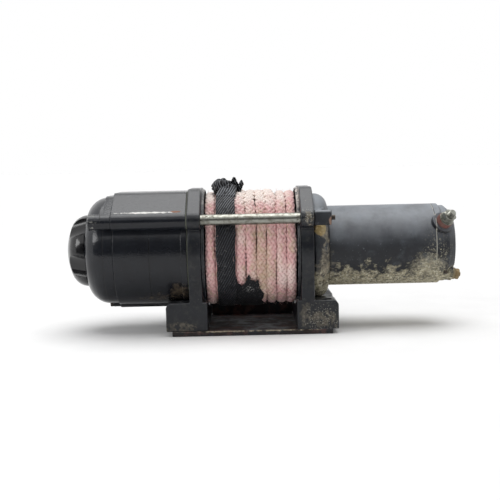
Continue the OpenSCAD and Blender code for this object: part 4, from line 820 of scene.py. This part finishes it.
class WINCH_OT_webbing(bpy.types.Operator):
    """Build the webbing sleeve, its fold on top and its torn end"""
    bl_idname = "winch.webbing"
    bl_label = "Webbing"

    def execute(self, context):
        s = context.scene.winch_webbing
        ribbed, worn = self.cloth(s, "nylon_webbing"), self.cloth(s, "worn_webbing", 0.25)
        low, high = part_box("rope_sleeve")
        inner = (high.z - low.z) / 2 - 0.001
        self.band("ribbed_sleeve", s, ribbed, low.x, high.x, 0, 360, inner, 0.0006, "rope_sleeve", seed=1.0)
        torn_low, torn_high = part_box("sleeve_torn_end")
        self.band("torn_end", s, worn, torn_low.x - 0.001, torn_high.x, 200, 262, inner + 0.0002, 0.0016,
                  "sleeve_torn_end", seed=6.0, torn=True)
        fold_low, fold_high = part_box("sleeve_fold")
        self.lump(worn, fold_low.x, inner)
        self.lap(s, ribbed, low.x, high.x, inner)
        self.tip(worn, fold_high.x, inner)
        return {"FINISHED"}

    @staticmethod
    def cloth(s, name, share=1.0):
        """Woven nylon webbing: nearly black, with slanted ribs whose tops carry a painted soft grey sheen.
        """
        finish = Finish(name, s.colour, 0.7, coords="UV", Specular_IOR_Level=0.3, Sheen_Weight=0.03,
                        Sheen_Roughness=0.4)
        turns = 2 * math.pi / s.rib_pitch
        phase = add(finish.tree, "VectorMath", {0: finish.place, 1: (turns, turns * s.slant, 0)}, "Value",
                    operation="DOT_PRODUCT")
        rib = finish.spread(add(finish.tree, "Math", {0: phase}, operation="SINE"), 0.0, 0.95)
        rib = finish.times(rib, finish.grain(0.007, 0.3, 0.55, detail=4))
        lint = finish.grain(0.0012, 0.6, 0.7, seed=1.1)
        # Painted sheen on the tops of the ribs
        finish.layer((rib, share), s.sheen, 0.45, 0.00012)
        finish.measure_in("Object")
        # Where it lies over the top, the ribs are brighter: partly dust, partly painted light from above
        finish.layer((finish.below(AXIS + 34, -9, 6), rib, 0.6), srgb("#8a8d92"))
        finish.layer((lint, 0.45), srgb("#8d8b88"), 0.9)
        scuff = finish.patch((-1.6, -38, AXIS - 32), (4.5, 9, 4), size=0.003)
        finish.layer((scuff, finish.grain(0.0013, 0.52, 0.62, seed=3)), srgb("#a3a2a0"), 0.8)
        finish.layer(finish.grain(0.0004, 0.3, 0.7, detail=1), rise=0.00006)
        return finish.done()

    @staticmethod
    def rib(s, x, along):
        """Height of the slanted ribs at a place on the webbing."""
        return s.rib_rise * np.sin((x + along * s.slant) * 2 * math.pi / s.rib_pitch)

    def band(self, name, s, material, x0, x1, start, end, inner, ragged, node, seed, torn=False):
        """A ribbed band round the rope, crowned across its width, with uneven edges."""
        row_step, column_step = 0.0006, 0.00032
        rows = int(math.radians(end - start) * inner / row_step)
        columns = int((x1 - x0) / column_step)
        share = np.linspace(0, 1, columns)
        crown = 0.0012 * (1 - (2 * share - 1) ** 4)
        points, uvs = np.zeros((rows, columns, 3)), np.zeros((rows, columns, 2))
        lost = np.zeros((rows, columns), bool)
        for r, angle in enumerate(np.linspace(start, end, rows)):
            arc = math.radians(angle) * inner
            along = math.radians(angle - 150) * inner
            left = x0 + ragged * wave(arc, 0, 0, 0.012, seed)
            right = x1 + ragged * (1.6 * wave(arc, 5, 0, 0.009, seed) - 0.4)
            x = left + (right - left) * share
            wrinkle = 0.0006 * np.array([wave(at, arc, 0, 0.008, seed) for at in x])
            # It passes close behind the tie rods
            reach = np.minimum(inner + crown + wrinkle, WEB_REACH - s.rib_rise) + self.rib(s, x, along)
            points[r] = round_axis(angle, reach, x)
            uvs[r] = spread_out(x, along)
            if torn:
                for c, at in enumerate(x):
                    edge = start + 9 + 9 * wave(at, 0, 0, 0.006, seed) + 5 * wave(at, 3, 0, 0.0022, seed)
                    edge += 16 * max(0.0, (share[c] - 0.75) / 0.25) ** 2
                    lost[r, c] = angle < edge or angle > end - 3 - 4 * wave(at, 8, 0, 0.005, seed)
        mesh = grid(name, points, uvs)
        if torn:
            made = bmesh.new()
            made.from_mesh(mesh)
            gone = lost.ravel()
            bmesh.ops.delete(made, geom=[v for v in made.verts if gone[v.index]], context="VERTS")
            made.to_mesh(mesh)
            made.free()
        else:
            weld(mesh, 1e-5)
        # The thickness goes inwards; the torn piece keeps its grid's normals, which face the drum
        piece = link(name, mesh, material, "drum", "black_webbing", node)
        thicken(piece, BAND_THICKNESS, 1 if torn else -1)

    @staticmethod
    def lump(material, x0, inner):
        """The creased lump behind the knot: a ball, drawn out round the rope at its left side."""
        half_width, half_length, half_height, pole = 0.0084, 0.0072, 0.0072, 0.02
        middle, arc_radius = 98.5, 0.054

        def place(b, a):
            way = Vector((math.sin(b) * math.cos(a), math.sin(b) * math.sin(a), math.cos(b)))
            crease = (1 - abs(noise.noise(way * 1.6 + Vector((4, 1, 7))))) ** 6
            size = 1.08 + 0.25 * noise.noise(way * 1.4 + Vector((9, 2, 3))) - 0.2 * crease
            x = x0 + 0.0083 + half_width * size * way.x
            along = half_length * size * way.y * (1 + 0.5 * max(0.0, -way.x))
            angle = middle + math.degrees(along / arc_radius)
            reach = inner + 0.0036 + half_height * size * way.z
            return angle, reach, x, x + 0.5 * round_axis(angle, reach, x)[2], along

        mesh = swept("knotted_fold", np.linspace(pole, math.pi - pole, 48), np.linspace(0, 2 * math.pi, 97),
                     place, caps=True)
        weld(mesh)
        link("knotted_fold", mesh, material, "drum", "black_webbing", "sleeve_fold")

    def lap(self, s, material, x0, x1, inner):
        """The webbing comes up the front, leans over and folds back at the top of the knot."""
        back, lifts_at, tucked_to = 0.35, 0.28, 0.2

        def place(u, v):
            up, over = min(u, 1), max(0.0, u - 1) / back
            climb = max(0.0, (up - lifts_at) / (1 - lifts_at))
            left, right = x0 + 0.0003 + 0.0052 * climb ** 1.3, x1 + 0.0012 * climb
            x = (left + right) / 2 + (right - left) / 2 * v + 0.0004 * wave(u * 4, v, 0, 1.0, 3.0)
            angle = 118 - 16 * up - 9 * over
            along = math.radians(angle - 150) * inner
            rise = 0.0049 * climb ** 1.4 * (1 - 0.25 * v) - 0.0045 * over ** 2
            rise += 0.0006 * wave(u * 3, v * 2, 0, 1.0, 5.0)
            reach = inner + 0.0012 + max(0.0, rise) * (climb > 0) + 0.0004 * (1 - v ** 4)
            # Its lower edge is tucked under the sleeve
            reach -= 0.012 * max(0.0, tucked_to - u)
            return angle, reach + self.rib(s, x, along), x, x, along

        mesh = swept("folded_lap", np.linspace(0, 1 + back, 90), np.linspace(-1, 1, 60), place)
        thicken(link("folded_lap", mesh, material, "drum", "black_webbing"), LOOSE_THICKNESS, 0)

    @staticmethod
    def tip(material, x1, inner):
        """The torn tip that stands up beside the lap: a crumpled fan with three points."""
        left, right, hem, flare = -0.0105, 0.0034, 0.0050, 0.0022
        # Place, height and half width of each point
        spikes = ((-0.0036, 0.0074, 0.0024), (0.0016, 0.0042, 0.0015), (-0.0075, 0.0046, 0.0022))

        def place(u, across):
            tall = hem + max(h * math.exp(-((across - at) / wide) ** 2) for at, h, wide in spikes)
            tall += 0.0010 * wave(across, 1, 0, 0.0008, 4.2)
            x = x1 + across + flare * u * u * (across - left) / (right - left)
            angle = 98 + 5 * wave(across, u, 0, 0.004, 2.0) - 3 * u
            angle += 3 * wave(across, u * 2, 5, 0.0016, 6.0)
            return angle, inner - 0.0004 + tall * u, x, x, tall * u

        mesh = swept("torn_flap", np.linspace(0, 1, 36), np.linspace(left, right, 110), place)
        thicken(link("torn_flap", mesh, material, "drum", "black_webbing"), LOOSE_THICKNESS, 0)


class WINCH_OT_other_parts(bpy.types.Operator):
    """Finish every CAD node that keeps its own shape"""
    bl_idname = "winch.other_parts"
    bl_label = "Other parts"

    def execute(self, context):
        self.give(bpy.data.materials["zinc_plated_steel"], ("foot_nuts",))
        planets = [f"{stage}_planet_{place}" for stage in ("first", "second", "output") for place in "abc"]
        # Each row: kind, name, colour, second colour, roughness, its other values, nodes
        for kind, name, colour, second, roughness, values, nodes in (
                # Black oxide on steel screws: dark, oily sheen, brown at the edges
                (metal, "black_oxide_steel", "#3a3a3b", "#554a40", 0.42, {"grime": 0.5},
                 ("base_plate_screws", "housing_screws", "gearbox_bolts", "cover_screw",
                  "motor_flange_bolts", "motor_through_bolts", "rope_anchor_screw", "brake_hub")),
                # Machined gear steel: mid grey, satin, thin grease film
                (metal, "machined_gear_steel", "#a3a29d", "#8b8a84", 0.3, {"grime": 0.25},
                 ("main_ring_gear", "input_ring_gear", "output_carrier", "drive_shaft", "input_sun_gear",
                  "motor_coupler", "motor_shaft", "first_carrier", "second_carrier", "clutch_plunger",
                  *planets)),
                # Black painted drum tube, rubbed grey by the rope
                (solid, "painted_drum_steel", "#2b2c2e", "#55565a", 0.45, {"size": 0.009}, ("drum",)),
                # Stacked silicon steel: dull blue grey with fine layers
                (metal, "silicon_steel_laminations", "#7a7d80", "#686a6c", 0.45, {"scale": 0.002},
                 ("armature_core",)),
                # Spring steel: dark, straight drawn, smooth
                (metal, "spring_steel", "#6d6d6f", "#57575a", 0.32, {}, ("brake_spring", "brush_springs")),
                # Sintered ferrite: charcoal, dull and slightly grainy
                (solid, "sintered_ferrite", "#3a3836", "#4a4643", 0.7, {}, ("motor_magnets",)),
                # Drawn copper under clear varnish: warm, even and bright
                (metal, "varnished_copper", "#b5653a", "#9c5330", 0.3, {"grime": 0.15},
                 ("armature_windings", "commutator")),
                # Sintered bronze: brown gold with open pores
                (metal, "sintered_bronze", "#a27c48", "#8a6637", 0.42, {"scale": 0.001}, ("motor_bushes",)),
                # Phenolic board: dark amber brown with paper mottling
                (solid, "phenolic_board", "#6b4a2f", "#583a24", 0.4, {}, ("brush_holder",)),
                # Pressed carbon: black, soft graphite shine
                (solid, "pressed_carbon", "#26262a", "#333338", 0.5, {"size": 0.001}, ("brushes",)),
                # Moulded nylon: creamy, waxy
                (solid, "moulded_nylon", "#d8d3c4", "#c9c2ae", 0.42, {}, ("drum_bushes",)),
                # Moulded friction lining: brown grey with flecks
                (solid, "friction_lining", "#5a5048", "#7a6c5c", 0.85, {"size": 0.0015}, ("brake_shoes",)),
                # Gasket paper: grey-green, fibrous
                (solid, "gasket_paper", "#4d5047", "#5f6256", 0.85, {}, ("housing_gasket",))):
            self.give(kind(name, srgb(colour), srgb(second), roughness, **values).done(), nodes)
        return {"FINISHED"}

    @staticmethod
    def give(material, nodes):
        """Puts a material on CAD nodes."""
        for name in nodes:
            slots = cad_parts[name].data.materials
            slots.clear()
            slots.append(material)


class WINCH_OT_stage(bpy.types.Operator):
    """Make the camera, the pale floor and the soft light"""
    bl_idname = "winch.stage"
    bl_label = "Stage"

    def execute(self, context):
        scene, s = context.scene, context.scene.winch_stage
        camera = put("camera", bpy.data.cameras.new("camera"))
        camera.data.lens = s.lens
        camera.data.sensor_width = 36
        back = Vector((0, -math.cos(s.elevation), math.sin(s.elevation)))
        aim = Vector((s.side, 0, AXIS_H - s.drop))
        turn = (-back).to_track_quat("-Z", "Y").to_matrix().to_4x4() @ Matrix.Rotation(-s.roll, 4, "Z")
        camera.matrix_world = Matrix.Translation(aim + back * s.distance) @ turn
        scene.camera = camera
        # White card under even light: matt, and its shadow stays
        white = Finish("white_card", srgb("#f1f1f1"), 0.9)
        white.layer(white.grain(0.05, 0.3, 0.7), srgb("#eeeeee"))
        seen = add(white.tree, "LightPath", {}, "Is Camera Ray")
        glow = add(white.tree, "Emission", {"Color": (1, 1, 1, 1), "Strength": white.times(seen, 0.05)})
        both = add(white.tree, "AddShader", {0: white.shader.outputs[0], 1: glow})
        feed(white.tree, white.tree.nodes["Material Output"], "Surface", both)
        wide = 40
        floor = self.card("floor", white, [
            (-wide, -wide, 0), (wide, -wide, 0), (wide, wide, 0), (-wide, wide, 0)])
        # Just under the base plate's underside
        floor.location.z = -0.0002
        # A dark card in front, as in a room that is unlit there; only metal and gloss show it
        black = Finish("black_felt", srgb("#3a3a3b"), 0.9)
        flag = self.card("dark_card", black, [
            (-1.3, -0.6, 0.001), (1.3, -0.6, 0.001), (1.3, -0.5, 0.34), (-1.3, -0.5, 0.34)])
        flag.visible_camera = flag.visible_shadow = flag.visible_diffuse = flag.visible_transmission = False
        lamp = put("overhead", bpy.data.lights.new("overhead", "SUN"))
        lamp.data.energy = s.lamp
        lamp.data.angle = math.radians(58)
        lamp.rotation_euler = (math.radians(-4), math.radians(3), 0)
        # A small soft window at the left, for the highlights of the gloss
        window = put("window", bpy.data.lights.new("window", "AREA"))
        window.data.shape = "RECTANGLE"
        window.data.size, window.data.size_y = 0.45, 0.3
        window.data.energy = s.window
        window.location = (-0.85, -0.5, 0.42)
        lit = Vector((-0.1, 0, AXIS_H))
        window.rotation_euler = (lit - window.location).to_track_quat("-Z", "Y").to_euler()
        # The room: white to the camera, to gloss and through glass, and a soft fill for the rest
        scene.world = bpy.data.worlds.new("studio")
        scene.world.use_nodes = True
        tree = scene.world.node_tree
        shown = 0.0
        for ray in ("Is Camera Ray", "Is Glossy Ray", "Is Transmission Ray"):
            shown = add(tree, "Math", {0: shown, 1: add(tree, "LightPath", {}, ray)}, operation="MAXIMUM")
        sky = tree.nodes["Background"]
        feed(tree, sky, "Color", (1, 1, 1, 1))
        feed(tree, sky, "Strength", add(tree, "MapRange", {"Value": shown, "To Min": s.fill, "To Max": 1.0}))
        scene.view_settings.view_transform = "Standard"
        return {"FINISHED"}

    @staticmethod
    def card(name, finish, corners):
        """A flat card that isn't part of the winch."""
        mesh = bpy.data.meshes.new(name)
        mesh.from_pydata(corners, [], [(0, 1, 2, 3)])
        mesh.materials.append(finish.done())
        made = put(name, mesh)
        return made


class WINCH_PT_panel(bpy.types.Panel):
    """Sizes, colours and pieces of the winch"""
    bl_idname = "WINCH_PT_panel"
    bl_label = "Recovery winch"
    bl_space_type = "VIEW_3D"
    bl_region_type = "UI"
    bl_category = "Winch"

    def draw(self, context):
        for group, _ in GROUPS:
            box = self.layout.box()
            settings = getattr(context.scene, group)
            for name in settings.__annotations__:
                box.prop(settings, name)
        for operator in PIECES:
            self.layout.operator(operator.bl_idname)


GROUPS = (("winch_castings", WINCH_PG_castings), ("winch_hardware", WINCH_PG_hardware),
          ("winch_rope", WINCH_PG_rope), ("winch_webbing", WINCH_PG_webbing),
          ("winch_stage", WINCH_PG_stage))
PIECES = (WINCH_OT_stage, WINCH_OT_castings, WINCH_OT_knob, WINCH_OT_hardware, WINCH_OT_rope,
          WINCH_OT_webbing, WINCH_OT_other_parts)


def register():
    for name, group in GROUPS:
        bpy.utils.register_class(group)
        setattr(bpy.types.Scene, name, PointerProperty(type=group))
    for operator in PIECES:
        bpy.utils.register_class(operator)
    bpy.utils.register_class(WINCH_PT_panel)


def unregister():
    bpy.utils.unregister_class(WINCH_PT_panel)
    for operator in reversed(PIECES):
        bpy.utils.unregister_class(operator)
    for name, group in reversed(GROUPS):
        delattr(bpy.types.Scene, name)
        bpy.utils.unregister_class(group)


def main():
    register()
    bpy.ops.winch.stage()
    bpy.ops.winch.castings()
    bpy.ops.winch.knob()
    bpy.ops.winch.hardware()
    bpy.ops.winch.rope()
    bpy.ops.winch.webbing()
    bpy.ops.winch.other_parts()


if __name__ == "__main__":
    main()
